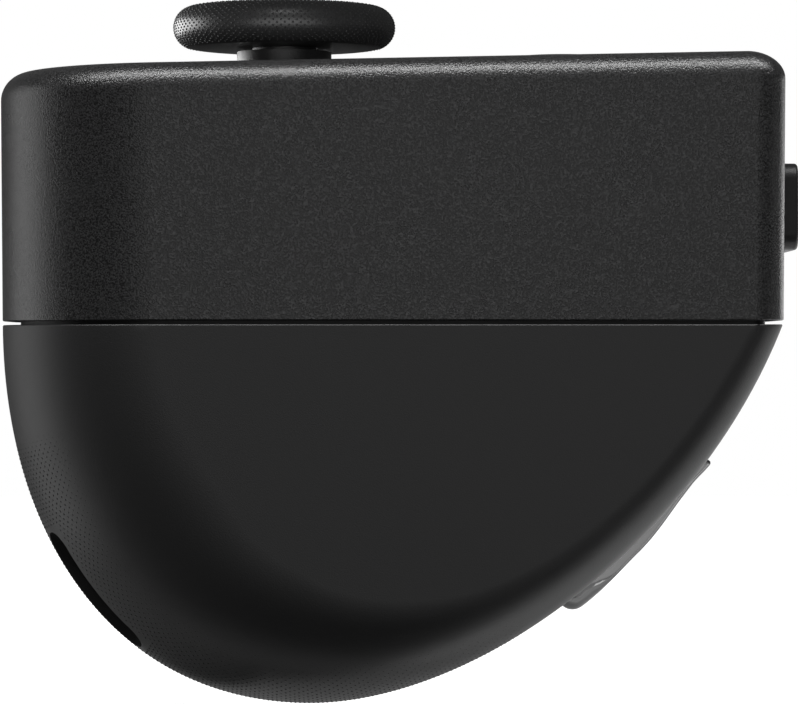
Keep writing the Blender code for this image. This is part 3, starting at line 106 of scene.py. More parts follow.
class ShellSizes(bpy.types.PropertyGroup):
    """Sizes of the two shells."""

    body_length: mm("Body length", "Length of both shells", 61.8)
    body_width: length("Body width", "Width over the flat sides", SHELL_HIGH[1] - SHELL_LOW[1])
    top_height: mm("Top height", "Height of the top over the seam at mid-length", 20.6)
    top_slope: angle("Top slope", "Rise of the top towards the front", 1.08)
    top_round: mm("Top round", "Round of the top's edge", 2.2)
    front_ease: mm("Front ease", "How much further the top's edge reaches back at the front", 0.9)
    end_draft: mm("End draft", "How far the ends lean out towards the top", 0.14)
    rear_corner: mm("Rear corner", "Round of the rear corners, seen from above", 13.0)
    front_corner: mm("Front corner", "Round of the front corners, seen from above", 2.4)
    belly_depth: mm("Belly depth", "Depth of the belly below the seam", 30.34)
    belly_low: mm("Belly lowest", "Place of the lowest point along the length", -6.69912)
    rear_pull: mm("Rear pull", "Straightness of the belly below the rear seam", 18.0)
    heel_pull: mm("Heel pull", "Fullness of the heel", 15.0)
    chin_pull: mm("Chin pull", "Fullness of the underside ahead of the lowest point", 13.35)
    front_pull: mm("Front pull", "Straightness of the belly below the front seam", 17.7)
    front_rake: angle("Front rake", "Lean of the belly at the front seam", 69.4)
    heel_round: mm("Heel round", "Round of the heel into the sides", 14.5)
    belly_round: mm("Belly round", "Round of the lowest part into the sides", 11.0)
    chin_round: mm("Chin round", "Round of the front underside into the sides", 5.0)
    wall: mm("Wall", "Wall of the shells", 2.2)
    seam_gap: mm("Seam gap", "Open gap between the shells", 0.3)
    seam_edge: mm("Seam edge", "Round of the edges at the seam", 0.12)
    lip_inset: mm("Lip inset", "Depth of the lip behind the outer faces", 1.45)
    lip_height: mm("Lip height", "Height of the lip over the seam", 1.7)
    gap: mm("Running gap", "Play round moving pieces", 0.3)


class StickSizes(bpy.types.PropertyGroup):
    """Sizes of the thumbstick and its bowl."""

    place: length("Place", "Place along the length", (CAP_LOW[0] + CAP_HIGH[0]) / 2)
    pivot_z: mm("Pivot height", "Height of the pivot over the seam", 12.5)
    bowl_radius: mm("Bowl radius", "Radius of the bowl in the top", 13.4)
    bowl_depth: mm("Bowl depth", "Depth of the bowl", 4.0)
    bowl_edge: mm("Bowl edge", "Round of the bowl's edge", 0.6)
    bowl_wall: mm("Bowl wall", "Wall of the bowl", 1.8)
    opening: mm("Opening", "Radius of the hole for the neck", 6.4)
    cap_z: length("Cap height", "Height of the cap's middle over the seam", (CAP_LOW[2] + CAP_HIGH[2]) / 2)
    cap_radius: mm("Cap radius", "Radius of the cap", 9.0)
    cap_rim: length("Cap rim", "Radius of the cap's round rim", (CAP_HIGH[2] - CAP_LOW[2]) / 2 - 0.07 * MM)
    cap_dish: mm("Cap dish", "Depth of the dish in the cap", 0.7)
    spigot_radius: mm("Spigot radius", "Radius of the spigot in the cap", 2.6)
    spigot_height: mm("Spigot height", "Height of the spigot in the cap", 1.5)
    neck_radius: mm("Neck radius", "Radius of the neck", 3.85)
    dome_radius: mm("Dome radius", "Radius of the dome under the bowl", 6.64)
    dome_wall: mm("Dome wall", "Wall of the dome", 0.9)
    shaft_radius: mm("Shaft radius", "Radius of the shaft below the dome", 1.0)
    shaft_below: mm("Shaft below", "Reach of the shaft below the pivot", 5.0)


class ButtonSizes(bpy.types.PropertyGroup):
    """Sizes of the buttons and the light."""

    front_z: mm("Front button height", "Height of the front button's middle", 9.25)
    front_height: mm("Front button rise", "Front button, from low to high edge", 6.9)
    front_width: mm("Front button width", "Front button across", 18.0)
    front_corner: mm("Front button corner", "Round of the front button's corners", 1.3)
    front_edge: mm("Front button edge", "Round of the front button's edge", 0.28)
    front_proud: length("Front button proud", "How far the front button stands out", KEY_HIGH[0] - 30.9 * MM)
    face_place: length("Face button place", "Face buttons along the length", (FACE_LOW[0] + FACE_HIGH[0]) / 2)
    face_apart: length(
        "Face button offset", "Face buttons from the middle line", -(FACE_LOW[1] + FACE_HIGH[1]) / 2
    )
    face_radius: mm("Face button radius", "Radius of a face button", 4.3)
    face_dish: mm("Face button dish", "Depth of a face button's dish", 0.35)
    face_edge: mm("Face button edge", "Round of a face button's edge", 0.35)
    menu_place: length("Menu button place", "Menu button along the length", (MENU_LOW[0] + MENU_HIGH[0]) / 2)
    menu_length: mm("Menu button length", "Menu button across the body", 7.0)
    menu_width: mm("Menu button width", "Menu button along the body", 3.0)
    menu_edge: mm("Menu button edge", "Round of the menu button's edge", 0.25)
    flange: mm("Button flange", "Flange of the top buttons beyond their sides", 0.8)
    light_place: length("Light place", "Light along the length", (LIGHT_LOW[0] + LIGHT_HIGH[0]) / 2)
    light_radius: mm("Light radius", "Radius of the light pipe", 0.8)


class DomeSizes(bpy.types.PropertyGroup):
    """Sizes of the silicone domes under the top buttons."""

    film: mm("Film", "Floor inside a dome's skirt", 0.12)
    foot: mm("Foot", "Height of a skirt's outer edge", 0.55)
    lip: mm("Lip", "Height of a skirt's inner edge", 1.0)
    drop: mm("Crown's low end", "Height of a crown's underside at rest", 0.82)
    hole: amount("Hole", "Radius of a skirt's hole as a share of the dome's", 0.72)
    shoulder: amount("Lip radius", "Outer radius of a skirt's lip as a share of the dome's", 0.82)
    crown: amount("Crown", "Radius of a crown's top as a share of the dome's", 0.55)
    waist: amount("Waist", "Radius of a crown's low end as a share of the dome's", 0.64)


class TriggerSizes(bpy.types.PropertyGroup):
    """Sizes of the trigger."""

    top_z: mm("Upper end", "Height of the trigger's upper end", -10.6)
    low_z: mm("Lower end", "Height of the trigger's lower end", -22.2)
    width: mm("Width", "Trigger across", 20.0)
    thick: mm("Thickness", "Trigger below the belly's surface", 3.6)
    upper_lip: mm("Upper lip", "Stand of the upper lip over the belly", 0.85)
    notch_rise: mm("Notch rise", "Stand just below the upper lip", 0.66)
    mid_rise: mm("Middle rise", "Stand at mid-run", 1.12)
    lower_lip: mm("Lower lip", "Stand of the lower lip", 1.4)
    tail_rise: mm("Tail rise", "Stand at the very end", 1.3)
    crown: mm("Crown", "Fall of the face from its middle to its sides", 0.12)
    edge: mm("Edge", "Round of the trigger's edges", 0.25)
    bulb: mm("Bulb", "Round of the sides at the lower end", 1.25)
    waist: mm("Waist", "How far the sides stand in above the lower end", 0.25)
    knuckle: mm("Knuckle", "Radius of the hinge knuckle", 2.2)
    pin: mm("Pin", "Radius of the hinge pin's hole", 0.9)


class HeelSizes(bpy.types.PropertyGroup):
    """Sizes of the strap pockets, their pins and the screws' wells and posts."""

    pocket_z: mm("Pocket height", "Height of the pockets' middle", -22.1)
    pocket_y: mm("Pocket offset", "Pockets from the middle line", 6.75)
    pocket_length: mm("Pocket length", "Pocket along the heel", 11.6)
    pocket_width: mm("Pocket width", "Pocket across", 3.9)
    pocket_corner: mm("Pocket corner", "Round of a pocket's corners", 1.85)
    pocket_depth: mm("Pocket depth", "Depth of a pocket", 4.6)
    pocket_wall: mm("Pocket wall", "Wall round a pocket", 1.2)
    pin_y: mm("Strap pin offset", "Strap pins from the middle line", 6.3)
    pin_radius: mm("Strap pin", "Radius of a strap pin", 0.8)
    pin_seat: mm("Strap pin seat", "Reach of a strap pin into the walls", 0.9)
    well_radius: mm("Screw well", "Radius of a screw's well", 1.9)
    post_wall: mm("Post wall", "Wall of a screw post", 1.0)


class GripSizes(bpy.types.PropertyGroup):
    """Sizes of the small raised dots."""

    belly_pitch: mm("Belly pitch", "Distance between neighbouring dots on the belly", 0.52)
    cap_pitch: mm("Cap pitch", "Distance between neighbouring dots of a row on the cap", 0.62)
    cap_rows: mm("Cap rows", "Distance between the rows of dots on the cap", 0.22)
    radius: mm("Dot radius", "Radius of a dot", 0.1)
    height: mm("Dot height", "Height of a dot on the cap", 0.07)
    belly_height: mm("Belly dot height", "Height of a dot on the belly", 0.026)
    spread: angle("Spread", "How far the dots reach round the belly's sides", 52)
    sides: IntProperty(name="Dot fineness", description="Subdivision of a dot", default=1, min=1, max=2)


class FinishColours(bpy.types.PropertyGroup):
    """Colours of the finishes."""

    upper: colour("Upper shell", "Grained plastic of the upper shell", (0.018, 0.018, 0.0184))
    lower: colour("Lower shell", "Satin plastic of the belly", (0.0074, 0.0074, 0.0076))
    rubber: colour("Thumb rubber", "Rubber of the thumb cap", (0.018, 0.018, 0.0183))
    keys: colour("Buttons", "Plastic of the buttons", (0.009, 0.009, 0.0092))
    gloss: colour("Trigger", "Polished plastic of the trigger", (0.012, 0.012, 0.0125))
    steel: colour("Steel", "Plain steel", (0.55, 0.55, 0.56))
    gold: colour("Contacts", "Plated contacts", (0.75, 0.53, 0.22))
    board: colour("Boards", "Solder mask of the boards", (0.02, 0.09, 0.04))
    chip: colour("Chips", "Moulded black of chips and switches", (0.02, 0.02, 0.021))
    silicone: colour("Domes", "Pale silicone of the domes", (0.45, 0.45, 0.44))
    nylon: colour("Socket", "Natural nylon of the battery socket", (0.7, 0.69, 0.64))
    foil: colour("Battery", "Foil of the battery", (0.33, 0.34, 0.36))
    lens: colour("Light", "Milky plastic of the light", (0.78, 0.79, 0.78))


class StageSizes(bpy.types.PropertyGroup):
    """Camera, card and room."""

    lens: amount("Lens", "Focal length in millimetres on a 36 mm frame", 180.45)
    camera: FloatVectorProperty(
        name="Camera", description="Place of the camera", default=(0.000955, -0.3261, -0.0023), unit="LENGTH"
    )
    card_light: amount("Card", "Brightness of the pale card under the front", 0.5)
    room: amount("Room light", "Brightness of the room round the studio", 0.11)


class ControllerSettings(bpy.types.PropertyGroup):
    """All settings of the controller."""

    shell: PointerProperty(type=ShellSizes)
    stick: PointerProperty(type=StickSizes)
    buttons: PointerProperty(type=ButtonSizes)
    domes: PointerProperty(type=DomeSizes)
    trigger: PointerProperty(type=TriggerSizes)
    heel: PointerProperty(type=HeelSizes)
    grip: PointerProperty(type=GripSizes)
    finish: PointerProperty(type=FinishColours)
    stage: PointerProperty(type=StageSizes)


def settings():
    return bpy.context.scene.controller


# Fineness of the finished meshes

REAR_STEPS = 40
FRONT_STEPS = 14
EDGE_STEPS = 14
BELLY_STATIONS = 56
SIDE_STEPS = 22
TURN_STEPS = 128
SKIN_STEPS = 116
KEY_STEPS = 96
FITTING_STEPS = 48
SMALL_STEPS = 40
CORNER_STEPS = 12

# Distances under which points and planes count as the same
MERGE = 1e-8
POLE = 1e-7
CLEAN = 2e-7
LEVEL = 1e-6

# Longer than the whole part, and how far smaller cutters stand out of what they cut
BIG = 0.1
OVER = 5 * MM

# Least round of a corner drawn in, round of the edges of small fittings, and play between pieces that fit
LEAST_ROUND = 0.1 * MM
SMALL_EDGE = 0.15 * MM
PLAY = 0.15 * MM

# Corner of a slot with round ends as a share of its width, and the angle over which an edge is crisp
ROUND_END = 0.49
SHARP = radians(32)

# Places along the belly's outline where its side rounds are set, and along the trigger where its face is
ROUND_STATIONS = np.array((0.0, 0.55, 1.0, 1.38, 2.0))
RISE_STATIONS = (0.0, 0.14, 0.55, 0.9, 1.0)


# Mesh making


def linked(name, data):
    """A new object in the scene."""
    obj = bpy.data.objects.new(name, data)
    bpy.context.scene.collection.objects.link(obj)
    return obj


def from_bmesh(name, bm):
    """A linked object from a bmesh, faces turned outwards."""
    bmesh.ops.remove_doubles(bm, verts=bm.verts, dist=MERGE)
    bm.normal_update()
    bmesh.ops.recalc_face_normals(bm, faces=bm.faces)
    mesh = bpy.data.meshes.new(name)
    bm.to_mesh(mesh)
    bm.free()
    return linked(name, mesh)


def settle(obj):
    """Makes an object's modifiers part of its mesh, and removes the cutters they used."""
    graph = bpy.context.evaluated_depsgraph_get()
    mesh = bpy.data.meshes.new_from_object(obj.evaluated_get(graph))
    cutters = [m.object for m in obj.modifiers if m.type == "BOOLEAN"]
    obj.modifiers.clear()
    obj.data = mesh
    mesh.name = obj.name
    for cutter in cutters:
        bpy.data.objects.remove(cutter, do_unlink=True)
    return obj


def combine(target, operation, others):
    for other in others:
        boolean = target.modifiers.new(other.name, "BOOLEAN")
        boolean.operation = operation
        boolean.solver = "EXACT"
        boolean.object = other
        other.hide_render = True
    return settle(target)


def carve(target, *others):
    return combine(target, "DIFFERENCE", others)


def weld(target, *others):
    return combine(target, "UNION", others)


def smooth(obj, sharp=SHARP):
    """Smooth shading that keeps flat faces flat and edges over an angle crisp."""
    bm = bmesh.new()
    bm.from_mesh(obj.data)
    bmesh.ops.remove_doubles(bm, verts=bm.verts, dist=CLEAN)
    bmesh.ops.dissolve_degenerate(bm, edges=bm.edges, dist=CLEAN)
    for face in bm.faces:
        face.smooth = True
    for edge in bm.edges:
        edge.smooth = len(edge.link_faces) == 2 and edge.calc_face_angle(0) < sharp
    bm.to_mesh(obj.data)
    bm.free()
    weighted = obj.modifiers.new("weighted", "WEIGHTED_NORMAL")
    weighted.keep_sharp = True
    weighted.weight = 60
    return settle(obj)


def loft(name, rows):
    """A closed skin through rows of points, with a face over each end."""
    bm = bmesh.new()
    made = [[bm.verts.new(p) for p in row] for row in rows]
    count = len(made[0])
    for a, b in zip(made, made[1:]):
        for j in range(count):
            k = (j + 1) % count
            bm.faces.new((a[j], a[k], b[k], b[j]))
    bm.faces.new(made[0])
    bm.faces.new(made[-1])
    return from_bmesh(name, bm)


def prism(name, outline, thickness, place):
    """A flat outline of given thickness about its own middle plane, put in place by a matrix."""
    half = thickness / 2
    rows = [[place @ Vector((u, v, h)) for u, v in outline] for h in (-half, half)]
    return loft(name, rows)


def rounded_prism(name, outline_at, low, high, edge, place, steps=5):
    """A prism whose upper edge is rounded; outline_at gives the outline drawn in by an inset."""
    rows = [[place @ Vector((u, v, low)) for u, v in outline_at(0)]]
    for k in range(steps + 1):
        a = pi / 2 * k / steps
        height = high - edge * (1 - sin(a))
        rows.append([place @ Vector((u, v, height)) for u, v in outline_at(edge * (1 - cos(a)))])
    return loft(name, rows)


def at(x, y, z):
    return Matrix.Translation((x, y, z))


def block(name, low, high):
    corners = [(low[0], low[1]), (high[0], low[1]), (high[0], high[1]), (low[0], high[1])]
    return prism(name, corners, high[2] - low[2], at(0, 0, (low[2] + high[2]) / 2))


def rod(name, start, end, radius, steps=SMALL_STEPS, edge=0.0):
    """A round bar between two points, with its ends rounded off by an edge."""
    start, end = Vector(start), Vector(end)
    along = (end - start).normalized()
    side = along.orthogonal().normalized()
    other = along.cross(side)
    reach = (end - start).length
    profile = [(0.0, radius), (reach, radius)]
    if edge:
        quarter = np.linspace(0, pi / 2, 4)
        arcs = [(edge * (1 - cos(a)), radius - edge * (1 - sin(a))) for a in quarter]
        profile = arcs + [(reach - h, r) for h, r in reversed(arcs)]
    turn = [2 * pi * k / steps for k in range(steps)]
    out = [side * cos(a) + other * sin(a) for a in turn]
    return loft(name, [[start + along * h + o * r for o in out] for h, r in profile])


def turned(name, profile, place, steps=TURN_STEPS):
    """A shape turned about an upright axis from (radius, height) points that run down its outside."""
    bm = bmesh.new()
    x, y, z = place
    turn = [2 * pi * k / steps for k in range(steps)]
    rings = []
    for radius, height in profile:
        spots = [(radius * cos(a), radius * sin(a)) for a in turn] if radius > POLE else [(0, 0)]
        rings.append([bm.verts.new((x + u, y + v, z + height)) for u, v in spots])
    pairs = list(zip(rings, rings[1:]))
    if len(rings[0]) > 1:
        pairs.append((rings[-1], rings[0]))
    for a, b in pairs:
        for j in range(steps):
            k = (j + 1) % steps
            if len(a) == 1 and len(b) > 1:
                bm.faces.new((a[0], b[j], b[k]))
            elif len(b) == 1 and len(a) > 1:
                bm.faces.new((a[j], b[0], a[k]))
            elif len(a) > 1:
                bm.faces.new((a[j], b[j], b[k], a[k]))
    return from_bmesh(name, bm)


def finished(obj, look, body, slot, *nodes):
    """Gives a piece its finish, its body and the nodes that it stands for."""
    obj.data.materials.clear()
    obj.data.materials.append(finish(look))
    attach(obj, body)
    if nodes:
        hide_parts(*nodes)


# Outlines of the shells


def arc(cx, cy, radius, start, end, steps):
    angles = np.radians(np.linspace(start, end, steps + 1))
    return [(cx + radius * cos(a), cy + radius * sin(a)) for a in angles]


def plan_outline(inset, grow=0.0):
    """The shells' outline seen from above, drawn in by an inset."""
    s = settings().shell
    along = s.body_length / 2 + grow - inset
    across = s.body_width / 2 - inset
    rear = s.rear_corner - inset
    front = max(s.front_corner - inset, LEAST_ROUND)
    return (
        arc(rear - along, rear - across, rear, 180, 270, REAR_STEPS)
        + arc(along - front, front - across, front, 270, 360, FRONT_STEPS)
        + arc(along - front, across - front, front, 0, 90, FRONT_STEPS)
        + arc(rear - along, across - rear, rear, 90, 180, REAR_STEPS)
    )


def rounded_rectangle(along, across, corner, grow=0.0, steps=CORNER_STEPS):
    """A rectangle with round corners, grown on all sides."""
    corner += grow
    u = (along + 2 * grow) / 2 - corner
    v = (across + 2 * grow) / 2 - corner
    return (
        arc(u, v, corner, 0, 90, steps) + arc(-u, v, corner, 90, 180, steps)
        + arc(-u, -v, corner, 180, 270, steps) + arc(u, -v, corner, 270, 360, steps)
    )


def stadium(along, across):
    """A slot with round ends."""
    return rounded_rectangle(along, across, min(along, across) * ROUND_END)


def eased(share):
    """Zero to one with soft ends."""
    share = min(max(share, 0.0), 1.0)
    return share * share * (3 - 2 * share)


def top_z(x):
    s = settings().shell
    return s.top_height + x * tan(s.top_slope)


def bezier(points, t):
    a, b, c, d = (np.array(p) for p in points)
    r = 1 - t
    point = r**3 * a + 3 * r * r * t * b + 3 * r * t * t * c + t**3 * d
    along = r * r * (b - a) + 2 * r * t * (c - b) + t * t * (d - c)
    return point, along / np.linalg.norm(along)


def belly(t):
    """Point (x, z) and outward normal on the belly's outline: 0 rear seam, 1 lowest point, 2 front seam."""
    s = settings().shell
    half = s.body_length / 2
    low = (s.belly_low, -s.belly_depth)
    if t <= 1:
        heel = (s.belly_low - s.heel_pull, -s.belly_depth)
        point, along = bezier(((-half, 0), (-half, -s.rear_pull), heel, low), t)
    else:
        lean = (half - s.front_pull * cos(s.front_rake), -s.front_pull * sin(s.front_rake))
        point, along = bezier((low, (s.belly_low + s.chin_pull, -s.belly_depth), lean, (half, 0)), t - 1)
    return point, np.array((along[1], -along[0]))


def belly_at(z, front):
    """Place on the belly's outline at a height, on its front or its rear run."""
    low, high = (1.0, 2.0) if front else (0.0, 1.0)
    for _ in range(40):
        middle = (low + high) / 2
        if (belly(middle)[0][1] < z) == front:
            low = middle
        else:
            high = middle
    return (low + high) / 2


def side_round(t):
    """Radius that rounds the belly into the flat sides, on a smooth curve through its stations."""
    s = settings().shell
    stations = ROUND_STATIONS
    radii = np.array((s.rear_corner, s.heel_round, s.belly_round, s.chin_round, s.front_corner))
    slopes = np.gradient(radii, stations)
    i = min(int(np.searchsorted(stations, t, "right")), len(stations) - 1) - 1
    wide = stations[i + 1] - stations[i]
    u = (t - stations[i]) / wide
    ends = radii[i] * (1 - eased(u)) + radii[i + 1] * eased(u)
    return float(ends + wide * u * (1 - u) * (slopes[i] * (1 - u) - slopes[i + 1] * u))


def belly_row(point, normal, radius, inset):
    """One row across the belly: flat side, round, underside, round, flat side."""
    half = settings().shell.body_width / 2 - inset
    radius = max(radius - inset, LEAST_ROUND)
    near = []
    for k in range(SIDE_STEPS + 1):
        a = pi / 2 * k / SIDE_STEPS
        depth = inset + radius * (1 - sin(a))
        y = radius - half - radius * cos(a)
        near.append((point[0] - normal[0] * depth, y, point[1] - normal[1] * depth))
    return near + [(x, -y, z) for x, y, z in reversed(near)]


def belly_body(name, inset, top):
    """The belly as a closed skin that runs past the seam, cut off level at a height."""
    half = settings().shell.body_length / 2
    past = 2 * OVER
    rows = [belly_row((-half, past), (-1, 0), side_round(0), inset)]
    for t in np.linspace(0, 2, 2 * BELLY_STATIONS + 1):
        rows.append(belly_row(*belly(t), side_round(t), inset))
    rows.append(belly_row((half, past), (1, 0), side_round(2), inset))
    bm = bmesh.new()
    made = [[bm.verts.new(p) for p in row] for row in rows]
    for a, b in zip(made, made[1:]):
        for j in range(len(a) - 1):
            bm.faces.new((a[j], a[j + 1], b[j + 1], b[j]))
    bm.faces.new([row[0] for row in made])
    bm.faces.new([row[-1] for row in made])
    everything = bm.verts[:] + bm.edges[:] + bm.faces[:]
    level = {"plane_co": (0, 0, top), "plane_no": (0, 0, 1)}
    bmesh.ops.bisect_plane(bm, geom=everything, dist=MERGE, clear_outer=True, **level)
    bmesh.ops.contextual_create(bm, geom=[e for e in bm.edges if e.is_boundary])
    return from_bmesh(name, bm)


def round_level_edge(obj, z, width):
    """Rounds the outer edge of a level face."""
    bm = bmesh.new()
    bm.from_mesh(obj.data)
    level = [f for f in bm.faces if abs(f.calc_center_median().z - z) < LEVEL]
    edges = max(level, key=lambda f: f.calc_area()).edges[:]
    bmesh.ops.bevel(bm, geom=edges, offset=width, segments=3, profile=0.5, affect="EDGES")
    bm.to_mesh(obj.data)
    bm.free()
    return obj


# Finishes

# Size of the slow patches in moulded finishes, per metre
PATCHES = 120.0

# Moulded finishes: colour, range of roughness, grain per metre, depth of grain, specular level, range of shade
MOULDED = {
    "grained_black": ("upper", (0.25, 0.3), 7200.0, 0.0138 * MM, 0.5, (0.12, 1.55)),
    "satin_black": ("lower", (0.45, 0.5), 9000.0, 0.004 * MM, 0.5, (0.85, 1.15)),
    "thumb_rubber_black": ("rubber", (0.34, 0.4), 7000.0, 0.004 * MM, 0.35, (0.8, 1.2)),
    "key_black": ("keys", (0.38, 0.46), 9000.0, 0.006 * MM, 0.3, (0.8, 1.2)),
    "polished_black": ("gloss", (0.1, 0.15), 500.0, 0.002 * MM, 1.0, (0.95, 1.05)),
    "milky_lens": ("lens", (0.2, 0.3), 2500.0, 0.001 * MM, 0.5, (0.95, 1.0)),
    "pale_silicone": ("silicone", (0.55, 0.65), 3000.0, 0.004 * MM, 0.5, (0.92, 1.05)),
    "chip_black": ("chip", (0.4, 0.5), 6000.0, 0.004 * MM, 0.5, (0.8, 1.2)),
    "natural_nylon": ("nylon", (0.45, 0.55), 2500.0, 0.003 * MM, 0.5, (0.95, 1.03)),
    "lead_sleeve": ("rubber", (0.45, 0.55), 3000.0, 0.004 * MM, 0.5, (0.8, 1.2)),
}

# Metals: colour, range of roughness, drawn lines per metre; and their range of shade
METALS = {
    "plain_steel": ("steel", (0.22, 0.36), 4000.0),
    "plated_contacts": ("gold", (0.2, 0.3), 4000.0),
    "pouch_foil": ("foil", (0.3, 0.45), 900.0),
}
METAL_SHADES = (0.8, 1.15)


def add(tree, kind, values=None, **options):
    """A new node, with its options and the values of its inputs."""
    made = tree.nodes.new(kind)
    for name, value in options.items():
        setattr(made, name, value)
    for socket, value in (values or {}).items():
        made.inputs[socket].default_value = value
    return made


def wire(tree, *links):
    """Joins nodes: each link names a node and its output, then a node and its input."""
    for source, given, target, taken in links:
        tree.links.new(source.outputs[given], target.inputs[taken])


def chain(tree, *nodes):
    """Joins each node's first output to the next one's first input."""
    for source, target in zip(nodes, nodes[1:]):
        tree.links.new(source.outputs[0], target.inputs[0])


def node_group(name, kind, inputs, outputs):
    """An empty node group with named sockets, each a name and a type."""
    tree = bpy.data.node_groups.new(name, kind)
    for side, sockets in (("INPUT", inputs), ("OUTPUT", outputs)):
        for label, socket in sockets:
            tree.interface.new_socket(name=label, in_out=side, socket_type="NodeSocket" + socket)
    return tree, tree.nodes.new("NodeGroupInput"), tree.nodes.new("NodeGroupOutput")


def grain_group():
    """Moulded grain: a fine pebbled height with darker pits, and slow patches as left by handling."""
    name = "moulded_grain"
    if name in bpy.data.node_groups:
        return bpy.data.node_groups[name]
    inputs = (("Vector", "Vector"), ("Grain", "Float"), ("Patches", "Float"))
    outputs = (("Height", "Float"), ("Shade", "Float"), ("Patch", "Float"))
    tree, given, put = node_group(name, "ShaderNodeTree", inputs, outputs)
    pebbles = add(tree, "ShaderNodeTexNoise", {"Detail": 1.0, "Roughness": 0.6})
    pits = add(tree, "ShaderNodeTexVoronoi", feature="F1")
    patches = add(tree, "ShaderNodeTexNoise", {"Detail": 3.0})
    coarser = add(tree, "ShaderNodeMath", {1: 0.25}, operation="MULTIPLY")
    pit_mask = add(tree, "ShaderNodeMapRange", {"From Min": 0.05, "From Max": 0.17})
    stretch = add(tree, "ShaderNodeMapRange", {"From Min": 0.34, "From Max": 0.66})
    both = add(tree, "ShaderNodeMath", operation="MULTIPLY")
    wire(
        tree,
        *((given, "Vector", texture, "Vector") for texture in (pebbles, pits, patches)),
        (given, "Grain", pebbles, "Scale"),
        (given, "Grain", coarser, 0),
        (coarser, 0, pits, "Scale"),
        (given, "Patches", patches, "Scale"),
        (pits, "Distance", pit_mask, "Value"),
        (pebbles, "Fac", stretch, "Value"),
        (stretch, "Result", both, 0),
        (pit_mask, "Result", both, 1),
        (both, 0, put, "Height"),
        (both, 0, put, "Shade"),
        (patches, "Fac", put, "Patch"),
    )
    return tree


def brushed_group():
    """Fine lines along one direction, as drawn or brushed metal has."""
    name = "drawn_lines"
    if name in bpy.data.node_groups:
        return bpy.data.node_groups[name]
    inputs = (("Vector", "Vector"), ("Fineness", "Float"))
    tree, given, put = node_group(name, "ShaderNodeTree", inputs, (("Lines", "Float"),))
    mapping = add(tree, "ShaderNodeMapping", {"Scale": (0.04, 1.0, 1.0)})
    noise = add(tree, "ShaderNodeTexNoise", {"Detail": 3.0})
    chain(tree, given, mapping, noise, put)
    wire(tree, (given, "Fineness", noise, "Scale"))
    return tree


def tinted(tree, source, output, base, dark, light, shader):
    """Varies the base colour between a darker and a lighter share of itself."""
    shades = {6: (*[c * dark for c in base], 1), 7: (*[min(c * light, 1) for c in base], 1)}
    mix = add(tree, "ShaderNodeMix", shades, data_type="RGBA")
    wire(tree, (source, output, mix, 0), (mix, 2, shader, "Base Color"))


def roughened(tree, source, output, low, high, shader):
    """Varies the roughness between two limits."""
    spread = add(tree, "ShaderNodeMapRange", {"To Min": low, "To Max": high})
    wire(tree, (source, output, spread, "Value"), (spread, "Result", shader, "Roughness"))


def moulded(tree, shader, place, base, rough, grain, depth, specular, tint):
    """Moulded plastic or rubber with grain, colour speckle and slow changes of gloss."""
    group = add(tree, "ShaderNodeGroup", {"Grain": grain, "Patches": PATCHES}, node_tree=grain_group())
    bump = add(tree, "ShaderNodeBump", {"Strength": 1.0, "Distance": depth})
    tinted(tree, group, "Shade", base, *tint, shader)
    roughened(tree, group, "Patch", *rough, shader)
    wire(
        tree,
        (place, "Object", group, "Vector"),
        (group, "Height", bump, "Height"),
        (bump, "Normal", shader, "Normal"),
    )
    shader.inputs["Specular IOR Level"].default_value = specular


def metal(tree, shader, place, base, rough, fineness):
    """Plain metal with fine drawn lines."""
    group = add(tree, "ShaderNodeGroup", {"Fineness": fineness}, node_tree=brushed_group())
    wire(tree, (place, "Object", group, "Vector"))
    tinted(tree, group, "Lines", base, *METAL_SHADES, shader)
    roughened(tree, group, "Lines", *rough, shader)
    shader.inputs["Metallic"].default_value = 1.0


def solder_mask(tree, shader, place):
    """Solder mask over faint copper runs."""
    runs = add(tree, "ShaderNodeTexBrick", {"Scale": 260.0, "Mortar Size": 0.06})
    wire(tree, (place, "Object", runs, "Vector"))
    tinted(tree, runs, "Fac", settings().finish.board, 0.85, 1.7, shader)
    roughened(tree, runs, "Fac", 0.42, 0.3, shader)


def matt_recess(tree, shader):
    """Makes the faces that are marked as a recess matt."""
    recess = add(tree, "ShaderNodeAttribute", attribute_name="recess")
    rougher = add(tree, "ShaderNodeMath", operation="MAXIMUM")
    tree.links.new(shader.inputs["Roughness"].links[0].from_socket, rougher.inputs[0])
    wire(tree, (recess, "Fac", rougher, 1), (rougher, 0, shader, "Roughness"))


def finish(name):
    """The material of a name, made at its first use."""
    if name in bpy.data.materials:
        return bpy.data.materials[name]
    material = bpy.data.materials.new(name)
    material.use_nodes = True
    tree = material.node_tree
    shader = tree.nodes["Principled BSDF"]
    place = add(tree, "ShaderNodeTexCoord")
    if name == "solder_mask":
        solder_mask(tree, shader, place)
        return material
    make, (colour_name, *values) = (metal, METALS[name]) if name in METALS else (moulded, MOULDED[name])
    make(tree, shader, place, getattr(settings().finish, colour_name), *values)
    if name == "satin_black":
        matt_recess(tree, shader)
    return material


# The pieces


class ControllerOperator:
    """Shared options of the operators."""

    bl_options = {"REGISTER", "UNDO"}


def facing_x(x, z):
    """Turns a flat outline (across, up) to face the front at a place."""
    turn = Matrix(((0, 0, 1, 0), (1, 0, 0, 0), (0, 1, 0, 0), (0, 0, 0, 1)))
    return at(x, 0, z) @ turn


